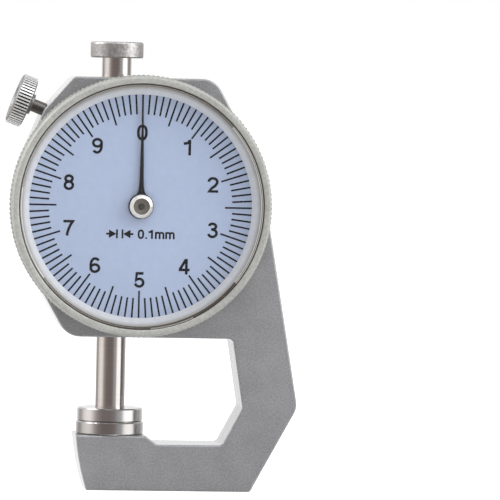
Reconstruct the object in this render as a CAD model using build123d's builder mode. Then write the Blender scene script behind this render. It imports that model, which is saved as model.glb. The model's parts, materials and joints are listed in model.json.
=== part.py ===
from build123d import *
from math import acos, atan2, cos, pi, radians, sin, sqrt, tan
import os

os.makedirs("parts", exist_ok=True)

# Dial thickness gauge. Millimetres, +Z up along the measuring axis, the dial faces -Y.
# The origin is where the spindle's axis meets the flat base, in the frame's mid-plane.

# Rack and pinion: one turn of the pointer for one full travel of the spindle
travel = 10.0
pinion_teeth = 16
pressure_angle = radians(20)
rack_addendum = 0.18
pinion_addendum = 0.19
root_clearance = 0.06
mesh_backlash = 0.04
rack_margin = 2.3
pinion_width = 3.4

# Clearances and small steps shared by many pieces
running_clearance = 0.03
bezel_clearance = 0.05
plate_clearance = 0.05
face_clearance = 0.1
contact_gap = 0.01
edge_break = 0.2

# Spindle, its contacts, its button and its bushes
spindle_radius = 2.3
rack_inset = 0.3
contact_radius = 5.1
anvil_radius = 5.25
anvil_thickness = 2.0
contact_thickness = 2.1
contact_stem_radius = 1.25
contact_stem_length = 4.0
anvil_stem_radius = 2.0
anvil_stem_length = 4.0
button_radius = 4.1
button_thickness = 2.5
button_edge_radius = 0.4
button_dish = 0.2
button_lift = 2.97
button_seat_radius = 1.5
button_seat_depth = 1.5
bush_wall = 1.0
bush_reach = 0.4

# Frame casting: its thickness, the housing round the dial and the arm down to the anvil
frame_thickness = 10.0
frame_edge_radius = 0.3
dial_height = 44.1
housing_radius = 19.5
top_margin = 0.25
underside_margin = 0.87
top_left_reach = 10.5
chamfer_margin = 1.43
chamfer_bearing = radians(135.8)
chamfer_radius = 1.2
top_right_reach = 11.3
top_right_radius = 3.3
low_left_reach = 10.86
low_left_radius = 3.6
elbow = (28.8, 13.2)
elbow_radius = 3.0
base_right = 21.65
base_corner_radius = 0.6
platform_height = 8.5
platform_margin_left = 0.45
platform_margin_right = 0.2
platform_drop = 1.3
ramp_length = 1.7
anvil_side_slope = 1.75
anvil_side_bow = 0.55
throat_top_x = 18.5
throat_wall_foot = (20.23, 13.0)
throat_floor_right = 17.15
throat_radius = 0.8

# Housing's inside, from the bezel's spigot inwards
spigot_step = 0.6
spigot_height = 1.0
spigot_wall = 1.85
plate_recess_depth = 0.8
ledge_width = 2.45
cover_ledge = 2.6
cover_thickness = 0.8

# Bezel and what it carries; heights are distances in front of the frame's front face
bezel_rim_width = 1.1
bezel_rim_front = 3.4
bezel_front = 4.85
bezel_inner_front = 4.7
dial_seat = 1.35
dial_thickness = 0.35
dial_hole_radius = 1.3
dial_lip_width = 0.75
dial_lip_thickness = 0.3
retainer_width = 1.75
retainer_top_width = 0.45
retainer_edge = 0.2
crystal_seat = 3.3
crystal_step = 0.1
crystal_edge = 1.2
crystal_dome = 0.4
crystal_thickness = 1.1
gasket_thickness = 0.35
gasket_top = 4.15
snap_wire_radius = 0.22
snap_ring_front = 0.55
snap_ring_gap = 20
snap_groove_half = 0.25

# Guide pin, spring pin and return spring, from the dial centre
guide_pin_radius = 0.6
guide_pin_rise = 2.8
guide_pin_reach = 0.8
guide_pin_depth = 1.0
spring_pin_radius = 0.6
spring_pin_drop = 1.8
spring_pin_depth = 1.1
spring_pin_overhang = 0.8
spring_axis_reach = 8.2
spring_wall_gap = 0.35
spring_post_radius = 0.7
spring_radius = 1.1
spring_wire_radius = 0.15
wire_sides = 6
spring_coil_pitch = 0.6
spring_hook_leg = 1.0

# Movement: front plate, rear bridge, arbor and hairspring
movement_plate_thickness = 1.0
bridge_cover_gap = 0.3
bridge_thickness = 0.8
bridge_radius = 2.2
pillar_reach = 4.2
pillar_spread = 7.5
pillar_radius = 1.5
pillar_rivet_radius = 0.9
arbor_radius = 0.75
arbor_front_journal = 0.6
arbor_rear_journal = 0.4
arbor_nose_radius = 0.5
collet_radius = 1.2
collet_length = 0.6
collet_plate_gap = 0.7
hairspring_width = 0.4
hairspring_strip = 0.12
hairspring_pitch = 0.55
hairspring_turns = 4
stud_radius = 0.5

# Small screws
small_screw_radius = 0.7
small_screw_length = 2.4
small_head_radius = 1.15
small_head_height = 0.5
slot_width = 0.3
slot_depth = 0.25
cover_head_radius = 1.2

# Pointer and its boss; heights are distances in front of the frame's front face
pointer_front = 2.25
pointer_thickness = 0.25
pointer_eye_radius = 1.95
pointer_margin = 1.1
pointer_root_half = 0.46
pointer_tip_half = 0.06
boss_radius = 1.925
boss_front = 3.4
boss_recess_radius = 1.27
boss_recess_depth = 0.6

# Locking screw: its axis runs down to the right, into the spindle
lock_angle = radians(21)
lock_head_margin = 4.63
lock_head_bearing = radians(139.03)
lock_head_radius = 4.0
lock_head_thickness = 2.5
lock_edge_radius = 0.5
lock_shank_radius = 1.0
lock_collar_radius = 1.6
lock_collar_length = 0.5
pad_radius = 0.9
pad_length = 2.15
pad_rest_gap = 0.12
pad_stem_radius = 0.4
pad_stem_length = 1.5

# Sizes that follow: the drive
rack_pitch = travel / pinion_teeth
pinion_pitch_radius = travel / (2 * pi)
rack_line = spindle_radius - rack_inset
rack_below = travel + rack_margin
dial_x = pinion_pitch_radius + rack_line
dial_centre = (dial_x, dial_height)

# Sizes that follow: depths along Y, counted towards the front
half_thickness = frame_thickness / 2
front_face = half_thickness
rear_face = -half_thickness
plate_recess_floor = front_face - plate_recess_depth
plate_front = plate_recess_floor + movement_plate_thickness
guide_pin_front = plate_recess_floor + guide_pin_reach
collet_front = plate_recess_floor - collet_plate_gap
hairspring_front = collet_front - (collet_length - hairspring_width) / 2
bridge_rear = half_thickness - cover_thickness - bridge_cover_gap - small_head_height
bridge_front = bridge_rear - bridge_thickness
dial_front = front_face + dial_seat + dial_thickness

# Sizes that follow: radii about the dial's axis
spigot_radius = housing_radius - spigot_step
plate_recess_radius = spigot_radius - spigot_wall
cavity_radius = plate_recess_radius - ledge_width
cover_radius = cavity_radius + cover_ledge
ledge_screw_circle = (cavity_radius + plate_recess_radius) / 2
dial_radius = spigot_radius + bezel_clearance
dial_lip_radius = dial_radius - dial_lip_width
retainer_inner_radius = dial_radius - retainer_width
retainer_top_radius = dial_radius - retainer_top_width
bezel_opening = dial_radius + crystal_step
bezel_radius = bezel_opening + bezel_rim_width
crystal_radius = bezel_opening - gasket_thickness
pointer_length = retainer_inner_radius - pointer_margin

# Sizes that follow: heights along Z
anvil_face = platform_height + anvil_thickness
contact_face = anvil_face + contact_gap
spindle_bottom = contact_face + contact_thickness
housing_top = housing_radius + top_margin
housing_underside = housing_radius + underside_margin
top_face = dial_height + housing_top
underside = dial_height - housing_underside
button_seat = top_face + button_lift
cavity_reach = sqrt(cavity_radius**2 - dial_x**2)
bush_radius = spindle_radius + bush_wall
throat_floor = platform_height - platform_drop
spring_outside = spring_radius + spring_wire_radius
spring_post_drop = sqrt((cavity_radius - spring_wall_gap) ** 2 - spring_axis_reach**2) - spring_outside

# Radial section of everything round the dial: x is the radius, y is towards the front
section = Plane(origin=(dial_x, 0, dial_height), x_dir=(1, 0, 0), z_dir=(0, 0, -1))
dial_axis = Axis((dial_x, 0, dial_height), (0, -1, 0))


def at_depth(front):
    """Sketch plane parallel to the dial, this far in front of the frame's mid-plane."""
    return Plane.XZ.offset(front)


def tangent_point(outside, turn):
    """Where the line from a point outside the housing touches the housing's circle."""
    reach = sqrt(outside[0] ** 2 + outside[1] ** 2)
    angle = atan2(outside[1], outside[0]) + turn * acos(housing_radius / reach)
    return (dial_x + housing_radius * cos(angle), dial_height + housing_radius * sin(angle))


def from_dial(x, z):
    """A point given from the dial centre, in the model's own frame."""
    return (dial_x + x, dial_height + z)


def housing_bow(start, end):
    """Point on the housing's circle halfway between two points of it."""
    x = (start[0] + end[0]) / 2 - dial_x
    z = (start[1] + end[1]) / 2 - dial_height
    scale = housing_radius / sqrt(x**2 + z**2)
    return from_dial(x * scale, z * scale)


# Frame outline: the housing's circle with straight flanks drawn to it from each corner
chamfer_reach = housing_radius + chamfer_margin
chamfer_corner = (chamfer_reach * cos(chamfer_bearing), chamfer_reach * sin(chamfer_bearing))
elbow_from_dial = (elbow[0] - dial_x, elbow[1] - dial_height)
top_right = (top_right_reach, housing_top)
low_left = (-low_left_reach, -housing_underside)
arm_tangent = tangent_point(elbow_from_dial, 1)
right_tangent = tangent_point(top_right, -1)
left_tangent = tangent_point(chamfer_corner, 1)
low_left_tangent = tangent_point(low_left, -1)
platform_left = -contact_radius - platform_margin_left
platform_right = contact_radius + platform_margin_right
platform_left_end = (platform_left, platform_height)
anvil_side_bulge = (platform_left + anvil_side_bow, platform_height * 0.54)
base_left_end = (platform_left + anvil_side_slope, 0)
throat_top = (throat_top_x, underside)
throat_floor_end = (throat_floor_right, throat_floor)
rounded_corners = [
    (from_dial(*top_right), top_right_radius),
    (from_dial(*low_left), low_left_radius),
    (from_dial(*chamfer_corner), chamfer_radius),
    (from_dial(-top_left_reach, housing_top), chamfer_radius),
    (throat_top, throat_radius),
    (throat_wall_foot, throat_radius),
    (throat_floor_end, throat_radius),
    (elbow, elbow_radius),
    ((base_right, 0), base_corner_radius),
]

lock_head_reach = -(housing_radius + lock_head_margin) * cos(lock_head_bearing)
lock_head_rise = (housing_radius + lock_head_margin) * sin(lock_head_bearing)
lock_head = Vector(dial_x - lock_head_reach, 0, dial_height + lock_head_rise)
lock_direction = Vector(cos(lock_angle), 0, -sin(lock_angle))
lock_axis = Axis(lock_head, lock_direction)
lock_section = Plane(origin=lock_head, x_dir=(sin(lock_angle), 0, cos(lock_angle)), z_dir=(0, 1, 0))
pad_centre = (lock_head_reach - dial_x - spindle_radius - pad_radius - pad_rest_gap) / cos(lock_angle)
lock_tip = pad_centre - pad_length

with BuildPart() as frame_casting:
    with BuildSketch(at_depth(rear_face)) as outline:
        with BuildLine():
            ThreePointArc(platform_left_end, anvil_side_bulge, base_left_end)
            Polyline(base_left_end, (base_right, 0), elbow, arm_tangent)
            ThreePointArc(arm_tangent, housing_bow(arm_tangent, right_tangent), right_tangent)
            Polyline(
                right_tangent,
                from_dial(*top_right),
                from_dial(-top_left_reach, housing_top),
                from_dial(*chamfer_corner),
                left_tangent,
            )
            ThreePointArc(left_tangent, housing_bow(left_tangent, low_left_tangent), low_left_tangent)
            Polyline(
                low_left_tangent,
                from_dial(*low_left),
                throat_top,
                throat_wall_foot,
                throat_floor_end,
                (platform_right + ramp_length, throat_floor),
                (platform_right, platform_height),
                platform_left_end,
            )
        make_face()
        for point, radius in rounded_corners:
            fillet(outline.vertices().sort_by_distance(Vector(*point))[0], radius)
    extrude(amount=frame_thickness)
    front_edges = frame_casting.faces().sort_by(Axis.Y)[0].edges()
    rear_edges = frame_casting.faces().sort_by(Axis.Y)[-1].edges()
    fillet(front_edges + rear_edges, frame_edge_radius)
    # Spigot that the bezel turns on, with the groove for its snap ring
    with BuildSketch(at_depth(front_face)):
        with Locations(dial_centre):
            Circle(spigot_radius)
    extrude(amount=spigot_height)
    with BuildSketch(section) as snap_groove:
        with BuildLine():
            groove_floor = spigot_radius - snap_wire_radius
            groove_front = front_face + snap_ring_front
            Polyline(
                (groove_floor, groove_front - snap_groove_half),
                (spigot_radius + edge_break, groove_front - snap_groove_half),
                (spigot_radius + edge_break, groove_front + snap_groove_half),
                (groove_floor, groove_front + snap_groove_half),
                close=True,
            )
        make_face()
    revolve(axis=dial_axis, mode=Mode.SUBTRACT)
    # Hollow of the housing: recess for the movement plate, cavity, recess for the cover
    with BuildSketch(at_depth(plate_recess_floor)):
        with Locations(dial_centre):
            Circle(plate_recess_radius)
    extrude(amount=frame_thickness, mode=Mode.SUBTRACT)
    with BuildSketch(at_depth(rear_face)):
        with Locations(dial_centre):
            Circle(cavity_radius)
    extrude(amount=frame_thickness + spigot_height, mode=Mode.SUBTRACT)
    with BuildSketch(at_depth(rear_face)):
        with Locations(dial_centre):
            Circle(cover_radius)
    extrude(amount=cover_thickness, mode=Mode.SUBTRACT)
    # Bores for the two bushes, the anvil's stem and the locking screw
    with BuildSketch(Plane.XY.offset(underside)):
        Circle(bush_radius)
    extrude(amount=top_face - underside, mode=Mode.SUBTRACT)
    with BuildSketch(Plane.XY.offset(platform_height)):
        Circle(anvil_stem_radius)
    extrude(amount=-anvil_stem_length, mode=Mode.SUBTRACT)
    with BuildSketch(Plane(origin=lock_head, x_dir=(0, 1, 0), z_dir=lock_direction)):
        Circle(lock_shank_radius + running_clearance)
    extrude(amount=pad_centre, mode=Mode.SUBTRACT)
    # Blind holes in the two ledges
    with BuildSketch(at_depth(plate_recess_floor)):
        with Locations(dial_centre):
            with PolarLocations(ledge_screw_circle, 3, start_angle=30):
                Circle(small_screw_radius)
    extrude(amount=-(small_screw_length - movement_plate_thickness), mode=Mode.SUBTRACT)
    with BuildSketch(at_depth(rear_face + cover_thickness)):
        with Locations(dial_centre):
            with PolarLocations(ledge_screw_circle, 4, start_angle=45):
                Circle(small_screw_radius)
    extrude(amount=small_screw_length - cover_thickness, mode=Mode.SUBTRACT)
frame_casting.part.label = "frame_casting"
export_step(frame_casting.part, "parts/frame_casting.step")

with BuildPart() as lower_bush:
    with BuildSketch(Plane.XY.offset(underside)):
        Circle(bush_radius)
        Circle(spindle_radius + running_clearance, mode=Mode.SUBTRACT)
    extrude(amount=housing_underside - cavity_reach + bush_reach)
lower_bush.part.label = "lower_bush"
export_step(lower_bush.part, "parts/lower_bush.step")

with BuildPart() as upper_bush:
    with BuildSketch(Plane.XY.offset(top_face)):
        Circle(bush_radius)
        Circle(spindle_radius + running_clearance, mode=Mode.SUBTRACT)
    extrude(amount=-(housing_top - cavity_reach + bush_reach))
upper_bush.part.label = "upper_bush"
export_step(upper_bush.part, "parts/upper_bush.step")

with BuildPart() as anvil_disc:
    with BuildSketch(Plane.XY.offset(platform_height)):
        Circle(anvil_radius)
    extrude(amount=anvil_thickness)
    chamfer(anvil_disc.edges(), edge_break)
    with BuildSketch(Plane.XY.offset(platform_height)):
        Circle(anvil_stem_radius)
    extrude(amount=-anvil_stem_length)
anvil_disc.part.label = "anvil_disc"
export_step(anvil_disc.part, "parts/anvil_disc.step")

with BuildPart() as contact_disc:
    with BuildSketch(Plane.XY.offset(contact_face)):
        Circle(contact_radius)
    extrude(amount=contact_thickness)
    chamfer(contact_disc.edges(), edge_break)
    with BuildSketch(Plane.XY.offset(spindle_bottom)):
        Circle(contact_stem_radius)
    extrude(amount=contact_stem_length)
contact_disc.part.label = "contact_disc"
export_step(contact_disc.part, "parts/contact_disc.step")

# Spindle: a round rod with a flat and rack teeth on the side that faces the pinion
rack_tip = rack_line + rack_addendum
rack_root = rack_line - pinion_addendum - root_clearance
gap_half = (rack_pitch + mesh_backlash) / 4
gap_tip_half = gap_half + (spindle_radius - rack_line) * tan(pressure_angle)
gap_root_half = gap_half - (rack_line - rack_root) * tan(pressure_angle)
gaps_above = int(rack_margin / rack_pitch)
gaps_below = int(rack_below / rack_pitch)
with BuildPart() as spindle_rack:
    with BuildSketch(Plane.XY.offset(spindle_bottom)):
        Circle(spindle_radius)
    extrude(amount=button_seat - spindle_bottom)
    with BuildSketch(Plane.XY.offset(button_seat)):
        Circle(button_seat_radius)
    extrude(amount=button_seat_depth)
    with BuildSketch(Plane.XY.offset(spindle_bottom)):
        Circle(contact_stem_radius)
    extrude(amount=contact_stem_length, mode=Mode.SUBTRACT)
    # The flat at the tips of the teeth
    with BuildSketch(at_depth(-spindle_radius)):
        with Locations((rack_tip, dial_height + rack_margin)):
            Rectangle(spindle_radius, rack_margin + rack_below, align=(Align.MIN, Align.MAX))
    extrude(amount=2 * spindle_radius, mode=Mode.SUBTRACT)
    # The gaps between the teeth; a tooth stands level with the pinion's centre at rest
    with BuildSketch(at_depth(-spindle_radius)) as gaps:
        for index in range(-gaps_below, gaps_above):
            middle = dial_height + (index + 0.5) * rack_pitch
            with BuildLine():
                Polyline(
                    (rack_root, middle - gap_root_half),
                    (spindle_radius, middle - gap_tip_half),
                    (spindle_radius, middle + gap_tip_half),
                    (rack_root, middle + gap_root_half),
                    close=True,
                )
            make_face()
    extrude(amount=2 * spindle_radius, mode=Mode.SUBTRACT)
    # Cross holes for the guide pin, to the front, and the spring pin, to the left
    with BuildSketch(at_depth(guide_pin_depth)):
        with Locations((0, dial_height + guide_pin_rise)):
            Circle(guide_pin_radius)
    extrude(amount=spindle_radius, mode=Mode.SUBTRACT)
    with BuildSketch(Plane.YZ.offset(-spindle_radius)):
        with Locations((0, dial_height - spring_pin_drop)):
            Circle(spring_pin_radius)
    extrude(amount=spring_pin_depth, mode=Mode.SUBTRACT)
spindle_rack.part.label = "spindle_rack"
export_step(spindle_rack.part, "parts/spindle_rack.step")

with BuildPart() as lifting_button:
    with BuildSketch(Plane.XY.offset(button_seat)):
        Circle(button_radius)
    extrude(amount=button_thickness)
    fillet(lifting_button.edges().group_by(Axis.Z)[-1], button_edge_radius)
    chamfer(lifting_button.edges().group_by(Axis.Z)[0], edge_break)
    # Shallow dish for the fingertip
    dish_rim = button_radius - 2 * button_edge_radius
    dish_ball = (dish_rim**2 + button_dish**2) / (2 * button_dish)
    with Locations((0, 0, button_seat + button_thickness - button_dish + dish_ball)):
        Sphere(dish_ball, mode=Mode.SUBTRACT)
    with BuildSketch(Plane.XY.offset(button_seat)):
        Circle(button_seat_radius)
    extrude(amount=button_seat_depth, mode=Mode.SUBTRACT)
lifting_button.part.label = "lifting_button"
export_step(lifting_button.part, "parts/lifting_button.step")

with BuildPart() as guide_pin:
    with BuildSketch(at_depth(guide_pin_depth)):
        with Locations((0, dial_height + guide_pin_rise)):
            Circle(guide_pin_radius)
    extrude(amount=guide_pin_front - guide_pin_depth)
guide_pin.part.label = "guide_pin"
export_step(guide_pin.part, "parts/guide_pin.step")

with BuildPart() as spring_hook_pin:
    with BuildSketch(Plane.YZ.offset(spring_pin_depth - spindle_radius)):
        with Locations((0, dial_height - spring_pin_drop)):
            Circle(spring_pin_radius)
    pin_tip = dial_x - spring_axis_reach - spring_pin_overhang
    extrude(amount=pin_tip - spring_pin_depth + spindle_radius)
spring_hook_pin.part.label = "spring_hook_pin"
export_step(spring_hook_pin.part, "parts/spring_hook_pin.step")

# Pinion on its arbor, with a gap between teeth turned to the rack
base_radius = pinion_pitch_radius * cos(pressure_angle)
outer_radius = pinion_pitch_radius + pinion_addendum
root_radius = pinion_pitch_radius - rack_addendum - root_clearance
half_tooth = (rack_pitch - mesh_backlash) / 4 / pinion_pitch_radius


def flank_point(radius, side):
    """Point of the pinion's involute flank at this radius, for a tooth that points along x."""
    lift = acos(min(1.0, base_radius / max(radius, base_radius)))
    at_pitch = tan(pressure_angle) - pressure_angle
    angle = half_tooth + at_pitch - (tan(lift) - lift)
    return (radius * cos(angle), side * radius * sin(angle))


with BuildPart() as pinion_arbor:
    with BuildSketch(at_depth(-pinion_width / 2)) as pinion:
        with Locations(dial_centre):
            Circle(root_radius)
            with PolarLocations(0, pinion_teeth, start_angle=180 / pinion_teeth):
                with BuildSketch(mode=Mode.PRIVATE) as tooth:
                    with BuildLine():
                        middle_radius = (base_radius + outer_radius) / 2
                        low = [flank_point(base_radius, side) for side in (-1, 1)]
                        mid = [flank_point(middle_radius, side) for side in (-1, 1)]
                        top = [flank_point(outer_radius, side) for side in (-1, 1)]
                        foot = root_radius - root_clearance
                        ThreePointArc(low[0], mid[0], top[0])
                        Line(top[0], top[1])
                        ThreePointArc(top[1], mid[1], low[1])
                        Polyline(low[1], (foot, low[1][1]), (foot, low[0][1]), low[0])
                    make_face()
                add(tooth.sketch)
    extrude(amount=pinion_width)
    # Arbor in steps, from the rear journal to the nose inside the pointer's boss
    for radius, start, end in [
        (arbor_rear_journal, -bridge_front - bridge_thickness, -pinion_width / 2),
        (arbor_radius, -bridge_front + face_clearance, plate_recess_floor - face_clearance),
        (arbor_front_journal, pinion_width / 2, front_face + pointer_front - pointer_thickness),
        (arbor_nose_radius, front_face, front_face + boss_front - boss_recess_depth + edge_break),
    ]:
        with BuildSketch(at_depth(start)):
            with Locations(dial_centre):
                Circle(radius)
        extrude(amount=end - start)
pinion_arbor.part.label = "pinion_arbor"
export_step(pinion_arbor.part, "parts/pinion_arbor.step")

with BuildPart() as hairspring_collet:
    with BuildSketch(at_depth(collet_front)):
        with Locations(dial_centre):
            Circle(collet_radius)
            Circle(arbor_radius, mode=Mode.SUBTRACT)
    extrude(amount=-collet_length)
hairspring_collet.part.label = "hairspring_collet"
export_step(hairspring_collet.part, "parts/hairspring_collet.step")

# Hairspring: half circles of growing radius, with centres to either side of the axis
hairspring_start = collet_radius + hairspring_strip / 2 + hairspring_pitch / 4
with BuildPart() as hairspring:
    with BuildSketch(at_depth(hairspring_front)):
        for index in range(2 * hairspring_turns):
            side = 1 if index % 2 == 0 else -1
            radius = hairspring_start + index * hairspring_pitch / 2
            middle = dial_x - side * hairspring_pitch / 4
            inner = radius - hairspring_strip / 2
            outer = radius + hairspring_strip / 2
            ends = [(middle - outer, dial_height), (middle + outer, dial_height)]
            inner_ends = [(middle + inner, dial_height), (middle - inner, dial_height)]
            with BuildLine():
                ThreePointArc(ends[0], (middle, dial_height + side * outer), ends[1])
                Line(ends[1], inner_ends[0])
                ThreePointArc(inner_ends[0], (middle, dial_height + side * inner), inner_ends[1])
                Line(inner_ends[1], ends[0])
            make_face()
    extrude(amount=-hairspring_width)
hairspring.part.label = "hairspring"
export_step(hairspring.part, "parts/hairspring.step")

stud_x = dial_x + collet_radius + hairspring_turns * hairspring_pitch + hairspring_strip + stud_radius
with BuildPart() as hairspring_stud:
    with BuildSketch(at_depth(plate_recess_floor)):
        with Locations((stud_x, dial_height)):
            Circle(stud_radius)
    extrude(amount=hairspring_front - hairspring_width - edge_break - plate_recess_floor)
hairspring_stud.part.label = "hairspring_stud"
export_step(hairspring_stud.part, "parts/hairspring_stud.step")

spring_x = dial_x - spring_axis_reach
pillar_places = [from_dial(pillar_reach, pillar_spread), from_dial(pillar_reach, -pillar_spread)]
with BuildPart() as movement_plate:
    with BuildSketch(at_depth(plate_recess_floor)):
        with Locations(dial_centre):
            Circle(plate_recess_radius - plate_clearance)
            Circle(arbor_front_journal + running_clearance, mode=Mode.SUBTRACT)
            with PolarLocations(ledge_screw_circle, 3, start_angle=30):
                Circle(small_screw_radius + running_clearance, mode=Mode.SUBTRACT)
        with Locations(*pillar_places):
            Circle(pillar_rivet_radius, mode=Mode.SUBTRACT)
        # Slot that keeps the guide pin, and with it the spindle, from turning
        with Locations((0, dial_height + guide_pin_rise + travel / 2)):
            SlotCenterToCenter(travel + face_clearance, 2 * (guide_pin_radius + running_clearance), rotation=90,
                               mode=Mode.SUBTRACT)
    extrude(amount=movement_plate_thickness)
movement_plate.part.label = "movement_plate"
export_step(movement_plate.part, "parts/movement_plate.step")

with BuildPart() as bridge_pillars:
    with BuildSketch(at_depth(plate_recess_floor)):
        with Locations(*pillar_places):
            Circle(pillar_radius)
    extrude(amount=-bridge_front - plate_recess_floor)
    with BuildSketch(at_depth(plate_recess_floor)):
        with Locations(*pillar_places):
            Circle(pillar_rivet_radius)
    extrude(amount=movement_plate_thickness)
    with BuildSketch(at_depth(-bridge_front)):
        with Locations(*pillar_places):
            Circle(small_screw_radius)
    extrude(amount=small_screw_length - bridge_thickness, mode=Mode.SUBTRACT)
bridge_pillars.part.label = "bridge_pillars"
export_step(bridge_pillars.part, "parts/bridge_pillars.step")

with BuildPart() as movement_bridge:
    with BuildSketch(at_depth(-bridge_front)):
        with Locations(dial_centre, *pillar_places):
            Circle(bridge_radius)
        make_hull()
        with Locations(dial_centre):
            Circle(arbor_rear_journal + running_clearance, mode=Mode.SUBTRACT)
        with Locations(*pillar_places):
            Circle(small_screw_radius + running_clearance, mode=Mode.SUBTRACT)
    extrude(amount=-bridge_thickness)
movement_bridge.part.label = "movement_bridge"
export_step(movement_bridge.part, "parts/movement_bridge.step")

with BuildPart() as bridge_screws:
    with BuildSketch(at_depth(-bridge_front - bridge_thickness)):
        with Locations(*pillar_places):
            Circle(small_head_radius)
    extrude(amount=-small_head_height)
    with BuildSketch(at_depth(-bridge_front - bridge_thickness)):
        with Locations(*pillar_places):
            Circle(small_screw_radius)
    extrude(amount=small_screw_length)
    with BuildSketch(at_depth(-bridge_front - bridge_thickness - small_head_height)):
        with Locations(*pillar_places):
            Rectangle(2 * small_head_radius, slot_width)
    extrude(amount=slot_depth, mode=Mode.SUBTRACT)
bridge_screws.part.label = "bridge_screws"
export_step(bridge_screws.part, "parts/bridge_screws.step")

with BuildPart() as plate_screws:
    with BuildSketch(at_depth(plate_front)):
        with Locations(dial_centre):
            with PolarLocations(ledge_screw_circle, 3, start_angle=30):
                Circle(small_head_radius)
    extrude(amount=small_head_height)
    with BuildSketch(at_depth(plate_front)):
        with Locations(dial_centre):
            with PolarLocations(ledge_screw_circle, 3, start_angle=30):
                Circle(small_screw_radius)
    extrude(amount=-small_screw_length)
    with BuildSketch(at_depth(plate_front + small_head_height)):
        with Locations(dial_centre):
            with PolarLocations(ledge_screw_circle, 3, start_angle=30):
                Rectangle(2 * small_head_radius, slot_width)
    extrude(amount=-slot_depth, mode=Mode.SUBTRACT)
plate_screws.part.label = "plate_screws"
export_step(plate_screws.part, "parts/plate_screws.step")

with BuildPart() as spring_post:
    with BuildSketch(at_depth(plate_recess_floor)):
        with Locations((spring_x, dial_height - spring_post_drop)):
            Circle(spring_post_radius)
    extrude(amount=-plate_recess_floor - spring_radius)
spring_post.part.label = "spring_post"
export_step(spring_post.part, "parts/spring_post.step")

# Return spring: coil with a hook over the spindle's pin and one round the post
coil_bottom = dial_height - spring_post_drop + spring_hook_leg + spring_post_radius
coil_top = dial_height - spring_pin_drop - spring_hook_leg - spring_pin_radius
coil_height = coil_top - coil_bottom
quarter_turns = 4 * int(coil_height / spring_coil_pitch) + 1
with BuildPart() as return_spring:
    with BuildLine(Plane(origin=(spring_x, 0, coil_bottom))) as coil:
        Helix(pitch=4 * coil_height / quarter_turns, height=coil_height, radius=spring_radius)
    with BuildSketch(Plane(origin=coil.line @ 0, z_dir=coil.line % 0)):
        RegularPolygon(spring_wire_radius, wire_sides)
    sweep(path=coil.line, is_frenet=True)
    lower_start = (spring_x + spring_radius, 0, coil_bottom)
    with BuildLine() as lower_hook:
        post_z = dial_height - spring_post_drop
        Line(lower_start, (spring_x + spring_radius, 0, post_z))
        ThreePointArc(
            (spring_x + spring_radius, 0, post_z),
            (spring_x, 0, post_z - spring_radius),
            (spring_x - spring_radius, 0, post_z),
        )
    with BuildSketch(Plane(origin=lower_start, z_dir=(0, 0, -1))):
        RegularPolygon(spring_wire_radius, wire_sides)
    sweep(path=lower_hook.line)
    upper_start = (spring_x, spring_radius, coil_top)
    with BuildLine() as upper_hook:
        pin_z = dial_height - spring_pin_drop
        Line(upper_start, (spring_x, spring_radius, pin_z))
        ThreePointArc(
            (spring_x, spring_radius, pin_z), (spring_x, 0, pin_z + spring_radius), (spring_x, -spring_radius, pin_z)
        )
    with BuildSketch(Plane(origin=upper_start, z_dir=(0, 0, 1))):
        RegularPolygon(spring_wire_radius, wire_sides)
    sweep(path=upper_hook.line)
return_spring.part.label = "return_spring"
export_step(return_spring.part, "parts/return_spring.step")

with BuildPart() as back_cover:
    with BuildSketch(at_depth(rear_face)):
        with Locations(dial_centre):
            Circle(cover_radius)
    extrude(amount=cover_thickness)
    with Locations(Plane(origin=(dial_x, half_thickness, dial_height), x_dir=(1, 0, 0), z_dir=(0, 1, 0))):
        with PolarLocations(ledge_screw_circle, 4, start_angle=45):
            CounterSinkHole(small_screw_radius, cover_head_radius, depth=cover_thickness, counter_sink_angle=90)
back_cover.part.label = "back_cover"
export_step(back_cover.part, "parts/back_cover.step")

# Cover screws: countersunk heads flush with the back
with BuildPart() as back_cover_screws:
    with BuildSketch(at_depth(rear_face)):
        with Locations(dial_centre):
            with PolarLocations(ledge_screw_circle, 4, start_angle=45):
                Circle(cover_head_radius)
    extrude(amount=cover_head_radius - small_screw_radius, taper=45)
    with BuildSketch(at_depth(rear_face)):
        with Locations(dial_centre):
            with PolarLocations(ledge_screw_circle, 4, start_angle=45):
                Circle(small_screw_radius)
    extrude(amount=small_screw_length)
    with BuildSketch(at_depth(rear_face)):
        with Locations(dial_centre):
            with PolarLocations(ledge_screw_circle, 4, start_angle=45):
                Rectangle(2 * cover_head_radius, slot_width)
    extrude(amount=slot_depth, mode=Mode.SUBTRACT)
back_cover_screws.part.label = "back_cover_screws"
export_step(back_cover_screws.part, "parts/back_cover_screws.step")

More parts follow.
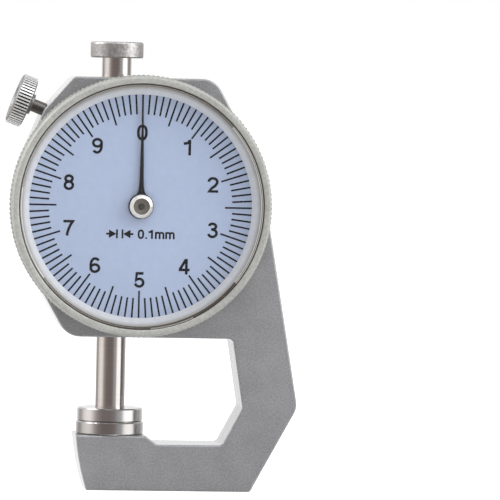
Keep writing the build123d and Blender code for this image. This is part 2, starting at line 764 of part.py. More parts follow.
# Bezel ring: grooved bore on the spigot, lip behind the dial, rounded front
with BuildPart() as bezel_ring:
    with BuildSketch(section) as ring:
        with BuildLine():
            lip_rear = front_face + dial_seat - dial_lip_thickness
            ring_front = front_face + snap_ring_front
            groove = dial_radius + snap_wire_radius
            Polyline(
                (bezel_opening, front_face + bezel_inner_front),
                (bezel_opening, front_face + crystal_seat),
                (dial_radius, front_face + crystal_seat),
                (dial_radius, front_face + dial_seat),
                (dial_lip_radius, front_face + dial_seat),
                (dial_lip_radius, lip_rear),
                (dial_radius, lip_rear),
                (dial_radius, ring_front + snap_groove_half),
                (groove, ring_front + snap_groove_half),
                (groove, ring_front - snap_groove_half),
                (dial_radius, ring_front - snap_groove_half),
                (dial_radius, front_face + face_clearance),
                (bezel_radius - edge_break, front_face + face_clearance),
                (bezel_radius, front_face + face_clearance + edge_break),
                (bezel_radius, front_face + bezel_rim_front),
            )
            crest = (bezel_radius + bezel_opening) / 2
            ThreePointArc(
                (bezel_radius, front_face + bezel_rim_front),
                (bezel_radius - edge_break, front_face + (bezel_rim_front + bezel_front) / 2 + edge_break),
                (crest, front_face + bezel_front),
            )
            ThreePointArc(
                (crest, front_face + bezel_front),
                ((crest + bezel_opening) / 2, front_face + bezel_front - edge_break / 4),
                (bezel_opening, front_face + bezel_inner_front),
            )
        make_face()
    revolve(axis=dial_axis)
bezel_ring.part.label = "bezel_ring"
export_step(bezel_ring.part, "parts/bezel_ring.step")

with BuildPart() as bezel_snap_ring:
    wire_centre = spigot_radius + bezel_clearance / 2
    with BuildSketch(section):
        with Locations((wire_centre, front_face + snap_ring_front)):
            RegularPolygon(snap_wire_radius - running_clearance, wire_sides)
    revolve(axis=dial_axis, revolution_arc=360 - snap_ring_gap)
bezel_snap_ring.part.label = "bezel_snap_ring"
export_step(bezel_snap_ring.part, "parts/bezel_snap_ring.step")

with BuildPart() as dial_plate:
    with BuildSketch(at_depth(front_face + dial_seat)):
        with Locations(dial_centre):
            Circle(dial_radius)
            Circle(dial_hole_radius, mode=Mode.SUBTRACT)
    extrude(amount=dial_thickness)
dial_plate.part.label = "dial_plate"
export_step(dial_plate.part, "parts/dial_plate.step")

with BuildPart() as dial_retainer_ring:
    with BuildSketch(section):
        with BuildLine():
            Polyline(
                (dial_radius, dial_front),
                (retainer_inner_radius, dial_front),
                (retainer_inner_radius, dial_front + retainer_edge),
                (retainer_top_radius, front_face + crystal_seat),
                (dial_radius, front_face + crystal_seat),
                close=True,
            )
        make_face()
    revolve(axis=dial_axis)
dial_retainer_ring.part.label = "dial_retainer_ring"
export_step(dial_retainer_ring.part, "parts/dial_retainer_ring.step")

with BuildPart() as crystal_gasket:
    with BuildSketch(at_depth(front_face + crystal_seat)):
        with Locations(dial_centre):
            Circle(bezel_opening)
            Circle(crystal_radius, mode=Mode.SUBTRACT)
    extrude(amount=gasket_top - crystal_seat)
crystal_gasket.part.label = "crystal_gasket"
export_step(crystal_gasket.part, "parts/crystal_gasket.step")

with BuildPart() as crystal:
    with BuildSketch(section):
        with BuildLine():
            seat = front_face + crystal_seat
            inner_apex = seat + crystal_edge + crystal_dome - crystal_thickness
            rim = (crystal_radius - edge_break, seat + crystal_edge)
            inner_rim = (crystal_radius - 2 * edge_break, seat)
            TangentArc((0, inner_apex), inner_rim, tangent=(1, 0))
            Polyline(inner_rim, (crystal_radius, seat), (crystal_radius, seat + crystal_edge - edge_break), rim)
            TangentArc((0, inner_apex + crystal_thickness), rim, tangent=(1, 0))
            Line((0, inner_apex + crystal_thickness), (0, inner_apex))
        make_face()
    revolve(axis=dial_axis)
crystal.part.label = "crystal"
export_step(crystal.part, "parts/crystal.step")

with BuildPart() as pointer_hand:
    with BuildSketch(at_depth(front_face + pointer_front - pointer_thickness)):
        with Locations(dial_centre):
            Circle(pointer_eye_radius)
        with BuildLine():
            Polyline(
                from_dial(-pointer_root_half, 0),
                from_dial(pointer_root_half, 0),
                from_dial(pointer_tip_half, pointer_length),
                from_dial(-pointer_tip_half, pointer_length),
                close=True,
            )
        make_face()
        with Locations(dial_centre):
            Circle(arbor_nose_radius, mode=Mode.SUBTRACT)
    extrude(amount=pointer_thickness)
pointer_hand.part.label = "pointer_hand"
export_step(pointer_hand.part, "parts/pointer_hand.step")

with BuildPart() as pointer_boss:
    with BuildSketch(at_depth(front_face + pointer_front)):
        with Locations(dial_centre):
            Circle(boss_radius)
            Circle(arbor_nose_radius, mode=Mode.SUBTRACT)
    extrude(amount=boss_front - pointer_front)
    with BuildSketch(at_depth(front_face + boss_front)):
        with Locations(dial_centre):
            Circle(boss_recess_radius)
    extrude(amount=-boss_recess_depth, mode=Mode.SUBTRACT)
pointer_boss.part.label = "pointer_boss"
export_step(pointer_boss.part, "parts/pointer_boss.step")

# Clamp pad: rounded brass tip with a stem that turns freely in the screw's end
with BuildPart() as clamp_pad:
    with BuildSketch(lock_section):
        with BuildLine():
            Polyline(
                (0, pad_centre + pad_radius),
                (0, lock_tip + contact_gap - pad_stem_length),
                (pad_stem_radius, lock_tip + contact_gap - pad_stem_length),
                (pad_stem_radius, lock_tip + contact_gap),
                (pad_radius, lock_tip + contact_gap),
                (pad_radius, pad_centre),
            )
            ThreePointArc(
                (pad_radius, pad_centre),
                (pad_radius * sin(pi / 4), pad_centre + pad_radius * cos(pi / 4)),
                (0, pad_centre + pad_radius),
            )
        make_face()
    revolve(axis=lock_axis)
clamp_pad.part.label = "clamp_pad"
export_step(clamp_pad.part, "parts/clamp_pad.step")

with BuildPart() as thumb_screw:
    with BuildSketch(lock_section) as screw_profile:
        with BuildLine():
            head_end = lock_head_thickness / 2
            stem_room = pad_stem_radius + running_clearance
            Polyline(
                (0, -head_end + edge_break),
                (lock_head_radius / 2, -head_end + edge_break),
                (lock_head_radius / 2 + edge_break, -head_end),
                (lock_head_radius, -head_end),
                (lock_head_radius, head_end),
                (lock_collar_radius, head_end),
                (lock_collar_radius, head_end + lock_collar_length),
                (lock_shank_radius, head_end + lock_collar_length),
                (lock_shank_radius, lock_tip),
                (stem_room, lock_tip),
                (stem_room, lock_tip - pad_stem_length - face_clearance),
                (0, lock_tip - pad_stem_length - face_clearance),
                close=True,
            )
        make_face()
        fillet(screw_profile.vertices().group_by(Axis.X)[-1], lock_edge_radius)
    revolve(axis=lock_axis)
thumb_screw.part.label = "thumb_screw"
export_step(thumb_screw.part, "parts/thumb_screw.step")
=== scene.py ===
"""Looks of a dial thickness gauge: finishes, dial print, knurls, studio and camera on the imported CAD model."""

from __future__ import annotations

import json
import logging
import math
from dataclasses import dataclass, field, replace
from enum import Enum

import bpy
from mathutils import Matrix, Vector

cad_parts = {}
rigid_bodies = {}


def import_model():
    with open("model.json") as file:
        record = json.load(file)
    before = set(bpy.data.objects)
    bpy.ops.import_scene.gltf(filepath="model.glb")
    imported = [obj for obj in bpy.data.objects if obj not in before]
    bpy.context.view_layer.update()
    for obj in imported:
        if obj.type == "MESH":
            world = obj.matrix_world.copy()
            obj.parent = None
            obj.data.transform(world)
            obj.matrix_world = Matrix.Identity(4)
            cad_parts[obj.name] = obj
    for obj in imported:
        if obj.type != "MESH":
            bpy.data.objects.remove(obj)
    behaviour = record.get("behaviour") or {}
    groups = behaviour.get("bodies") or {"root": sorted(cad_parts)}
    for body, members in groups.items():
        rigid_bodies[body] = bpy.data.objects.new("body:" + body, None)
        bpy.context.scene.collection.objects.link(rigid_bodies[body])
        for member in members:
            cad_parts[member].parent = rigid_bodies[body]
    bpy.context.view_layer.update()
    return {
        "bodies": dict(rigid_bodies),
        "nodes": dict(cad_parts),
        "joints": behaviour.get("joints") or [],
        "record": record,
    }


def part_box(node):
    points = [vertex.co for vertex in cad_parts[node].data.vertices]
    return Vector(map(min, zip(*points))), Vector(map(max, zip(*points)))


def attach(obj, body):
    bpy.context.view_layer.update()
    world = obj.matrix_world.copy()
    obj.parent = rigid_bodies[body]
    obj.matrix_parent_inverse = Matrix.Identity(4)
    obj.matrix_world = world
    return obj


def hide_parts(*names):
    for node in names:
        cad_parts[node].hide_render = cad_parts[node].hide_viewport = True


LOG = logging.getLogger("thickness_gauge")
MM = 0.001
WHITE = (1.0, 1.0, 1.0, 1.0)
FACING_FRONT = (math.pi / 2, 0.0, 0.0)
SOCKET_KINDS = {bool: "Bool", int: "Int", float: "Float", tuple: "Color"}
Colour = tuple[float, float, float]
Point = tuple[float, float]
Object = bpy.types.Object
Material = bpy.types.Material
Node = bpy.types.Node
Socket = bpy.types.NodeSocket


class Grain(Enum):
    """How the fine texture of a surface runs."""

    MOTTLE = "mottle"
    TURNED = "turned"
    DRAWN = "drawn"


LINES_ALONG = {Grain.TURNED: 1.0, Grain.DRAWN: 0.02}


class NodeWriter:
    """Adds and links the nodes of one tree, shader or geometry."""

    def __init__(self, tree: bpy.types.NodeTree) -> None:
        """Keeps the tree that the nodes go into."""
        self.tree = tree

    def feed(self, node: Node, inputs: dict[int | str, object]) -> None:
        """Links or sets inputs of a node.

        Args:
            node: The node.
            inputs: Socket name or index to a value or to another node's output socket.
        """
        for key, value in inputs.items():
            if isinstance(value, Socket):
                self.tree.links.new(value, node.inputs[key])
            else:
                node.inputs[key].default_value = value

    def add(self, kind: str, inputs: dict[int | str, object] | None = None, **settings: object) -> Node:
        """Adds a node, sets its properties and feeds its inputs.

        Args:
            kind: The node's type name.
            inputs: What goes to its inputs, as in feed.
            **settings: Properties of the node.

        Returns:
            The new node.
        """
        node = self.tree.nodes.new(kind)
        for name, value in settings.items():
            setattr(node, name, value)
        self.feed(node, inputs or {})
        return node

    def out(self, kind: str, inputs: dict[int | str, object] | None = None, **settings: object) -> Socket:
        """Adds a node as add does and gives its first output."""
        return self.add(kind, inputs, **settings).outputs[0]

    def maths(self, operation: str, *values: object) -> Socket:
        """Adds a Math node with its inputs in order, numbers or sockets, and gives its result."""
        return self.out("ShaderNodeMath", dict(enumerate(values)), operation=operation)

    def blend(self, factor: object, first: object, second: object) -> Socket:
        """Mixes two colours by a factor, each a value or a socket, and gives the result."""
        return self.add("ShaderNodeMix", {0: factor, 6: first, 7: second}, data_type="RGBA").outputs[2]

    def noise(self, place: Socket, scale: object, **sizes: float) -> Socket:
        """Adds a Noise Texture with its other inputs by name and gives its grey value."""
        return self.out("ShaderNodeTexNoise", {"Vector": place, "Scale": scale, "Detail": 2.0} | sizes)

    def ramp(self, factor: Socket, stops: tuple[tuple[float, Colour], ...]) -> Socket:
        """Adds a Color Ramp.

        Args:
            factor: The socket that it reads.
            stops: Position and colour of each stop, in order.

        Returns:
            The ramp's colour socket.
        """
        node = self.add("ShaderNodeValToRGB", {0: factor})
        elements = node.color_ramp.elements
        for element, (position, colour) in zip((elements[0], elements[1]), (stops[0], stops[-1])):
            element.position = position
            element.color = (*colour, 1.0)
        for position, colour in stops[1:-1]:
            elements.new(position).color = (*colour, 1.0)
        return node.outputs[0]

    def let_through(self, share: Socket, shader: Node, tint: tuple[float, ...] = WHITE) -> None:
        """Makes a surface clear to some rays.

        Args:
            share: 1 for the rays that pass.
            shader: What the other rays meet.
            tint: Colour of the rays that pass.
        """
        clear = self.out("ShaderNodeBsdfTransparent", {0: tint})
        mixed = self.out("ShaderNodeMixShader", {0: share, 1: shader.outputs[0], 2: clear})
        self.feed(self.tree.nodes["Material Output"], {"Surface": mixed})


class GroupWriter(NodeWriter):
    """Writes a node group with named sockets."""

    def __init__(self, name: str, kind: str, inputs: dict[str, object], outputs: dict[str, str]) -> None:
        """Makes the group and its sockets.

        Args:
            name: The group's name.
            kind: The tree's type name.
            inputs: Each input's default, or its kind's name where it has none.
            outputs: Each output's kind.
        """
        super().__init__(bpy.data.node_groups.new(name, kind))
        for label, value in inputs.items():
            bare = isinstance(value, str)
            socket = f"NodeSocket{value if bare else SOCKET_KINDS[type(value)]}"
            item = self.tree.interface.new_socket(label, in_out="INPUT", socket_type=socket)
            if not bare:
                item.default_value = value
        for label, value in outputs.items():
            self.tree.interface.new_socket(label, in_out="OUTPUT", socket_type=f"NodeSocket{value}")
        self.given = self.tree.nodes.new("NodeGroupInput").outputs
        self.sink = self.tree.nodes.new("NodeGroupOutput")

    def close(self, results: dict[str, Socket]) -> bpy.types.NodeTree:
        """Links the results to the group's outputs and gives its tree."""
        self.feed(self.sink, results)
        return self.tree


def new_material(name: str) -> tuple[Material, NodeWriter, Node]:
    """Starts a material.

    Args:
        name: Its name.

    Returns:
        The material, its writer and its Principled shader.
    """
    material = bpy.data.materials.new(name)
    material.use_nodes = True
    return material, NodeWriter(material.node_tree), material.node_tree.nodes["Principled BSDF"]


class SurfaceEffects:
    """The shader effects that more than one finish uses, each built once as a node group."""

    def __init__(self) -> None:
        """Builds the three groups."""
        self.mottle = self._build_mottle()
        self.grain = self._build_grain()
        self.handling = self._build_handling()

    @staticmethod
    def _build_mottle() -> bpy.types.NodeTree:
        """Builds the fine speckle of a sand-cast skin under a satin coat.

        Returns:
            The node group.
        """
        broad_size, broad_weight = 0.09, 0.35
        contrast, offset = 3.2, -1.66
        colours = {"Light": (0.4, 0.4, 0.4, 1.0), "Dark": (0.3, 0.3, 0.3, 1.0)}
        results = {"Color": "Color", "Height": "Float"}
        group = GroupWriter("cast_mottle", "ShaderNodeTree", {"Vector": "Vector", **colours, "Scale": 3000.0}, results)
        place, scale = group.given["Vector"], group.given["Scale"]
        fine = group.noise(place, scale, Detail=3.0)
        broad = group.noise(place, group.maths("MULTIPLY", scale, broad_size))
        both = group.maths("ADD", fine, group.maths("MULTIPLY", broad, broad_weight))
        mask = group.out("ShaderNodeClamp", {0: group.maths("MULTIPLY_ADD", both, contrast, offset)})
        return group.close({"Color": group.blend(mask, group.given["Dark"], group.given["Light"]), "Height": fine})

    @staticmethod
    def _build_grain() -> bpy.types.NodeTree:
        """Builds fine rings about the local Z axis, as a lathe or grinding wheel leaves them.

        Returns:
            The node group.
        """
        patch_scale = 420.0
        sizes = {"Vector": "Vector", "Lines per metre": 9000.0, "Along": 1.0}
        group = GroupWriter("turned_grain", "ShaderNodeTree", sizes, {"Height": "Float", "Mask": "Float"})
        x, y, z = group.add("ShaderNodeSeparateXYZ", {0: group.given["Vector"]}).outputs
        squares = group.maths("ADD", group.maths("POWER", x, 2.0), group.maths("POWER", y, 2.0))
        along = group.maths("MULTIPLY", z, group.given["Along"])
        place = group.out("ShaderNodeCombineXYZ", {0: group.maths("SQRT", squares), 1: along})
        spread = {0: place, "Scale": group.given["Lines per metre"]}
        scaled = group.out("ShaderNodeVectorMath", spread, operation="SCALE")
        lines = group.noise(scaled, 1.0)
        patches = group.noise(group.given["Vector"], patch_scale)
        return group.close({"Height": lines, "Mask": group.maths("MULTIPLY", lines, patches)})

    @staticmethod
    def _build_handling() -> bpy.types.NodeTree:
        """Builds faint smears from fingers, as a roughness that wanders about a middle value.

        Returns:
            The node group.
        """
        sizes = {"Vector": "Vector", "Middle": 0.3, "Spread": 0.1, "Scale": 160.0}
        group = GroupWriter("handling_smears", "ShaderNodeTree", sizes, {"Roughness": "Float"})
        given = group.given
        smears = group.noise(given["Vector"], given["Scale"], Detail=5.0, Roughness=0.62, Distortion=0.7)
        centred = group.maths("SUBTRACT", smears, 0.5)
        return group.close({"Roughness": group.maths("MULTIPLY_ADD", centred, given["Spread"], given["Middle"])})


@dataclass(frozen=True)
class Finish:
    """An opaque finish, by default with a fine mottle as on paint, rubber or a cast skin.

    The relief is in millimetres. The rim is painted shade: between an inner and an outer radius in millimetres the
    colour fades to the colour given beyond, standing in for the shadow of a surrounding ring.
    """

    name: str
    colour: Colour
    second: Colour
    metallic: float = 0.0
    roughness: float = 0.5
    spread: float = 0.08
    grain: Grain = Grain.MOTTLE
    scale: float = 3000.0
    relief: float = 0.0
    coat: float = 0.0
    coat_roughness: float = 0.25
    shine: float = 0.5
    rim: tuple[float, float, Colour] | None = None
    centre: tuple[float, ...] = (0.0, 0.0, 0.0)
    turn: tuple[float, ...] = (0.0, 0.0, 0.0)

    def placed(self, centre: Vector, turn: tuple[float, ...] = FACING_FRONT) -> Finish:
        """The same finish, centred on a piece and with its pattern's Z axis turned to the piece's own."""
        return replace(self, centre=tuple(centre), turn=turn)

    def build(self, effects: SurfaceEffects) -> Material:
        """Makes the material.

        Args:
            effects: The shared shader groups.

        Returns:
            The new material.
        """
        material, write, shader = new_material(self.name)
        place = write.add("ShaderNodeTexCoord").outputs["Object"]
        moved = write.out("ShaderNodeVectorMath", {0: place, 1: self.centre}, operation="SUBTRACT")
        place = write.out("ShaderNodeMapping", {"Vector": moved, "Rotation": self.turn})
        smears = {"Vector": place, "Middle": self.roughness, "Spread": self.spread}
        light, dark = (*self.colour, 1.0), (*self.second, 1.0)
        if self.grain is Grain.MOTTLE:
            sizes = {"Vector": place, "Light": light, "Dark": dark, "Scale": self.scale}
            pattern = write.add("ShaderNodeGroup", sizes, node_tree=effects.mottle).outputs
            colour = pattern["Color"]
        else:
            sizes = {"Vector": place, "Lines per metre": self.scale, "Along": LINES_ALONG[self.grain]}
            pattern = write.add("ShaderNodeGroup", sizes, node_tree=effects.grain).outputs
            colour = write.blend(pattern["Mask"], light, dark)
        # Painted shade: the colour fades to the rim's colour from its inner to its outer radius, where a surrounding
        # ring would cast its shadow.
        if self.rim is not None:
            inner, outer, tint = self.rim
            flat = write.out("ShaderNodeVectorMath", {0: place, 1: (1.0, 1.0, 0.0)}, operation="MULTIPLY")
            reach = write.add("ShaderNodeVectorMath", {0: flat}, operation="LENGTH").outputs["Value"]
            share = write.out("ShaderNodeMapRange", {0: reach, 1: inner * MM, 2: outer * MM})
            colour = write.blend(share, colour, (*tint, 1.0))
        looks = {
            "Base Color": colour,
            "Metallic": self.metallic,
            "Roughness": write.out("ShaderNodeGroup", smears, node_tree=effects.handling),
            "Specular IOR Level": self.shine,
            "Coat Weight": self.coat,
            "Coat Roughness": self.coat_roughness,
        }
        write.feed(shader, looks)
        if self.relief:
            lifted = write.maths("MULTIPLY", pattern["Height"], self.relief * MM)
            bump = {"Distance": 1.0, "Strength": 1.0, "Height": lifted}
            write.feed(shader, {"Normal": write.out("ShaderNodeBump", bump)})
        return material


@dataclass(frozen=True)
class Metal(Finish):
    """Bare metal with the fine lines of its making."""

    metallic: float = 1.0
    roughness: float = 0.3
    grain: Grain = Grain.DRAWN
    scale: float = 9000.0
    relief: float = 0.002


@dataclass(frozen=True)
class ClearFinish:
    """A clear acrylic that lets the lamps through to the dial."""

    name: str = "crystal_acrylic"
    tint: Colour = (0.985, 0.992, 1.0)
    roughness: float = 0.015
    bending: float = 1.3

    def build(self) -> Material:
        """Makes the material.

        Returns:
            The new material.
        """
        material, write, shader = new_material(self.name)
        tint = (*self.tint, 1.0)
        looks = {"Base Color": tint, "Roughness": self.roughness, "Transmission Weight": 1.0, "IOR": self.bending}
        write.feed(shader, looks)
        rays = write.add("ShaderNodeLightPath").outputs
        write.let_through(write.maths("MAXIMUM", rays["Is Shadow Ray"], rays["Is Diffuse Ray"]), shader, tint)
        return material


def add_object(name: str, data: bpy.types.ID) -> Object:
    """Adds an object to the scene.

    Args:
        name: Its name.
        data: Its mesh, lamp or camera data.

    Returns:
        The new object.
    """
    obj = bpy.data.objects.new(name, data)
    bpy.context.scene.collection.objects.link(obj)
    return obj


def dress(obj: Object, material: Material) -> None:
    """Gives every face of an object one material and reports it.

    Args:
        obj: A mesh object.
        material: Its material.
    """
    if not obj.material_slots:
        obj.data.materials.append(material)
    for slot in obj.material_slots:
        slot.material = material
    LOG.info("%s: %s", obj.name, material.name)


def fit(piece: Object, material: Material, body: str, node: str | None = None) -> None:
    """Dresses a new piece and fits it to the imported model.

    Args:
        piece: The new mesh object.
        material: Its material.
        body: The CAD body that it rides on.
        node: The CAD node that it replaces, if any.
    """
    dress(piece, material)
    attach(piece, body)
    if node is not None:
        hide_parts(node)


def new_mesh(
    name: str, points: list[tuple], faces: list[tuple], sharp: float = 30.0, plane: Matrix | None = None
) -> Object:
    """Makes a smooth-shaded mesh object with sharp edges above an angle.

    Args:
        name: The object's name.
        points: Its vertices, in metres.
        faces: Its faces, as vertex numbers.
        sharp: Edges that turn by more than this many degrees stay sharp.
        plane: Where the points' own plane lies, if not at the origin.

    Returns:
        The new object.
    """
    mesh = bpy.data.meshes.new(name)
    mesh.from_pydata(points, [], faces)
    mesh.shade_smooth()
    mesh.set_sharp_from_angle(angle=math.radians(sharp))
    if plane is not None:
        mesh.transform(plane)
    return add_object(name, mesh)


@dataclass
class Lathe:
    """Turns profiles about an axis. A profile point is a radius and a height along the axis, in millimetres."""

    origin: Vector
    axis: Vector
    across: Vector

    def turn(self, name: str, profile: list[Point], segments: int = 192, sharp: float = 30.0) -> Object:
        """Makes a closed body of revolution.

        Args:
            name: The object's name.
            profile: Points from one end to the other, anticlockwise with the radius to the right.
            segments: How many steps go round.
            sharp: Edges that turn by more than this many degrees stay sharp.

        Returns:
            The new object.
        """
        side = self.axis.cross(self.across)
        points: list[tuple] = []
        rows: list[list[int]] = []
        for radius, height in profile:
            base = self.origin + self.axis * (height * MM)
            if radius == 0.0:
                rows.append([len(points)] * segments)
                points.append(tuple(base))
                continue
            rows.append([len(points) + i for i in range(segments)])
            for i in range(segments):
                angle = 2 * math.pi * i / segments
                spoke = self.across * math.cos(angle) + side * math.sin(angle)
                points.append(tuple(base + spoke * (radius * MM)))
        closed = profile[0][0] != 0.0
        faces: list[tuple] = []
        for low, high in zip(rows, rows[1:] + (rows[:1] if closed else [])):
            for i in range(segments):
                j = (i + 1) % segments
                face = tuple(dict.fromkeys((low[i], low[j], high[j], high[i])))
                if len(face) > 2:
                    faces.append(face)
        return new_mesh(name, points, faces, sharp)


def arc(
    centre: Point, across: float, start: float, end: float, steps: int = 8, up: float | None = None, square: float = 1.0
) -> list[Point]:
    """Gives points along a circular or oval arc.

    Args:
        centre: The arc's centre.
        across: Its half-width.
        start: First angle in degrees.
        end: Last angle in degrees.
        steps: How many chords it has.
        up: Its half-height, or None for a circle.
        square: Below 1 the oval's sides are straighter.

    Returns:
        The points, both ends among them.
    """
    points: list[Point] = []
    for i in range(steps + 1):
        angle = math.radians(start + (end - start) * i / steps)
        c, s = math.cos(angle), math.sin(angle)
        x = across * math.copysign(abs(c) ** square, c)
        y = (across if up is None else up) * math.copysign(abs(s) ** square, s)
        points.append((centre[0] + x, centre[1] + y))
    return points


@dataclass(frozen=True)
class Stroke:
    """The middle line of one pen stroke."""

    line: list[Point]
    closed: bool = False

    def placed(self, height: float, shift: Point) -> Stroke:
        """The same stroke, scaled to a height and moved."""
        return Stroke([(x * height + shift[0], y * height + shift[1]) for x, y in self.line], self.closed)

    def edges(self, width: float) -> list[tuple[Point, Point]]:
        """Finds both edges of the stroke.

        Args:
            width: The pen's width.

        Returns:
            A left and a right point for each point of the line.
        """
        rows: list[tuple[Point, Point]] = []
        last = len(self.line) - 1
        for i, point in enumerate(self.line):
            here = Vector(point)
            ways: list[Vector] = []
            if self.closed or i > 0:
                ways.append((here - Vector(self.line[i - 1])).normalized())
            if self.closed or i < last:
                ways.append((Vector(self.line[(i + 1) % (last + 1)]) - here).normalized())
            way = sum(ways, Vector((0.0, 0.0))).normalized()
            reach = 0.5 * width / max(0.5, way.dot(ways[0]))
            side = Vector((-way.y, way.x)) * reach
            rows.append((tuple(here + side), tuple(here - side)))
        return rows


def figure_strokes() -> dict[str, list[Stroke]]:
    """Draws the figures and letters of the dial in a plain grotesque hand.

    Returns:
        For each sign its strokes, with the sign one unit high and its left edge near 0.
    """
    low, high = 0.078, 0.922
    left = 0.078
    six = [
        Stroke(arc((0.345, 0.31), 0.267, 0.0, 345.0, 23, 0.232), True),
        Stroke(
            [(left, 0.31)]
            + arc((0.345, 0.52), 0.267, 180.0, 90.0, 9, 0.402)
            + arc((0.345, 0.735), 0.24, 80.0, 18.0, 6, 0.187)
        ),
    ]
    arch = [Stroke([(left, 0.0), (left, 0.78)])]
    for shift in (0.0, 0.425):
        bow = arc((shift + 0.29, 0.52), 0.212, 180.0, 0.0, 10, 0.185)
        arch.append(Stroke([(shift + left, 0.48)] + bow + [(shift + 0.502, 0.0)]))
    slant = (0.07, 0.3)
    two_top = arc((0.355, 0.685), 0.275, 178.0, -28.0, 14, 0.237)
    five_bow = arc((0.33, 0.325), 0.262, 140.0, -168.0, 16, 0.247)
    return {
        "0": [Stroke(arc((0.34, 0.5), 0.262, 0.0, 350.0, 35, 0.422, 0.86), True)],
        "1": [Stroke([(0.39, 0.0), (0.39, 1.0)]), Stroke([(0.37, 0.93), (0.3, 0.81), (0.17, 0.762), (0.0, 0.757)])],
        "2": [Stroke(two_top + [(0.49, 0.43), (0.27, 0.27), (0.125, low), (0.7, low)])],
        "3": [
            Stroke(arc((0.325, 0.74), 0.225, 168.0, -90.0, 14, 0.182) + [(0.24, 0.558)]),
            Stroke(arc((0.33, 0.31), 0.265, 90.0, -170.0, 14, 0.2325)),
        ],
        "4": [Stroke([(0.49, 0.0), (0.49, 1.0)]), Stroke([(0.0, 0.29), (0.7, 0.29)]), Stroke([(0.45, 0.95), slant])],
        "5": [Stroke([(0.6, high), (0.17, high), (0.125, 0.48)] + five_bow)],
        "6": six,
        "7": [Stroke([(0.02, high), (0.63, high), (0.48, 0.7), (0.36, 0.42), (0.29, 0.18), (0.27, 0.0)])],
        "8": [
            Stroke(arc((0.335, 0.735), 0.225, 0.0, 345.0, 23, 0.187), True),
            Stroke(arc((0.335, 0.308), 0.257, 0.0, 345.0, 23, 0.23), True),
        ],
        "9": [Stroke([(0.69 - x, 1.0 - y) for x, y in part.line], part.closed) for part in six],
        ".": [Stroke([(left, 0.0), (left, 0.17)])],
        "m": arch,
    }


@dataclass
class Sheet:
    """A flat layer on a plane, half of its thickness on each side. Its shapes are in millimetres."""

    plane: Matrix
    thickness: float

    def cut(self, name: str, outlines: list[list[Point]]) -> Object:
        """Cuts pieces from closed outlines.

        Args:
            name: The object's name.
            outlines: Each outline's corners, anticlockwise.

        Returns:
            The new object.
        """
        points: list[tuple] = []
        faces: list[tuple] = []
        for outline in outlines:
            first, count = len(points), len(outline)
            for z in (0.5 * self.thickness * MM, -0.5 * self.thickness * MM):
                points += [(x * MM, y * MM, z) for x, y in outline]
            faces.append(tuple(range(first, first + count)))
            faces.append(tuple(range(first + 2 * count - 1, first + count - 1, -1)))
            for i in range(count):
                j = (i + 1) % count
                faces.append((first + j, first + i, first + count + i, first + count + j))
        return new_mesh(name, points, faces, plane=self.plane)

    def draw(self, name: str, strokes: list[Stroke], width: float) -> Object:
        """Draws strokes as closed strips.

        Args:
            name: The object's name.
            strokes: Their middle lines.
            width: The pen's width.

        Returns:
            The new object.
        """
        points: list[tuple] = []
        faces: list[tuple] = []
        top = 0.5 * self.thickness * MM
        for stroke in strokes:
            rows: list[tuple[int, ...]] = []
            for left, right in stroke.edges(width):
                rows.append(tuple(range(len(points), len(points) + 4)))
                for (x, y), z in ((left, top), (right, top), (right, -top), (left, -top)):
                    points.append((x * MM, y * MM, z))
            for near, far in zip(rows, rows[1:] + (rows[:1] if stroke.closed else [])):
                for k in range(4):
                    j = (k + 1) % 4
                    faces.append((near[k], near[j], far[j], far[k]))
            if not stroke.closed:
                faces += [rows[0][::-1], rows[-1]]
        return new_mesh(name, points, faces, plane=self.plane)


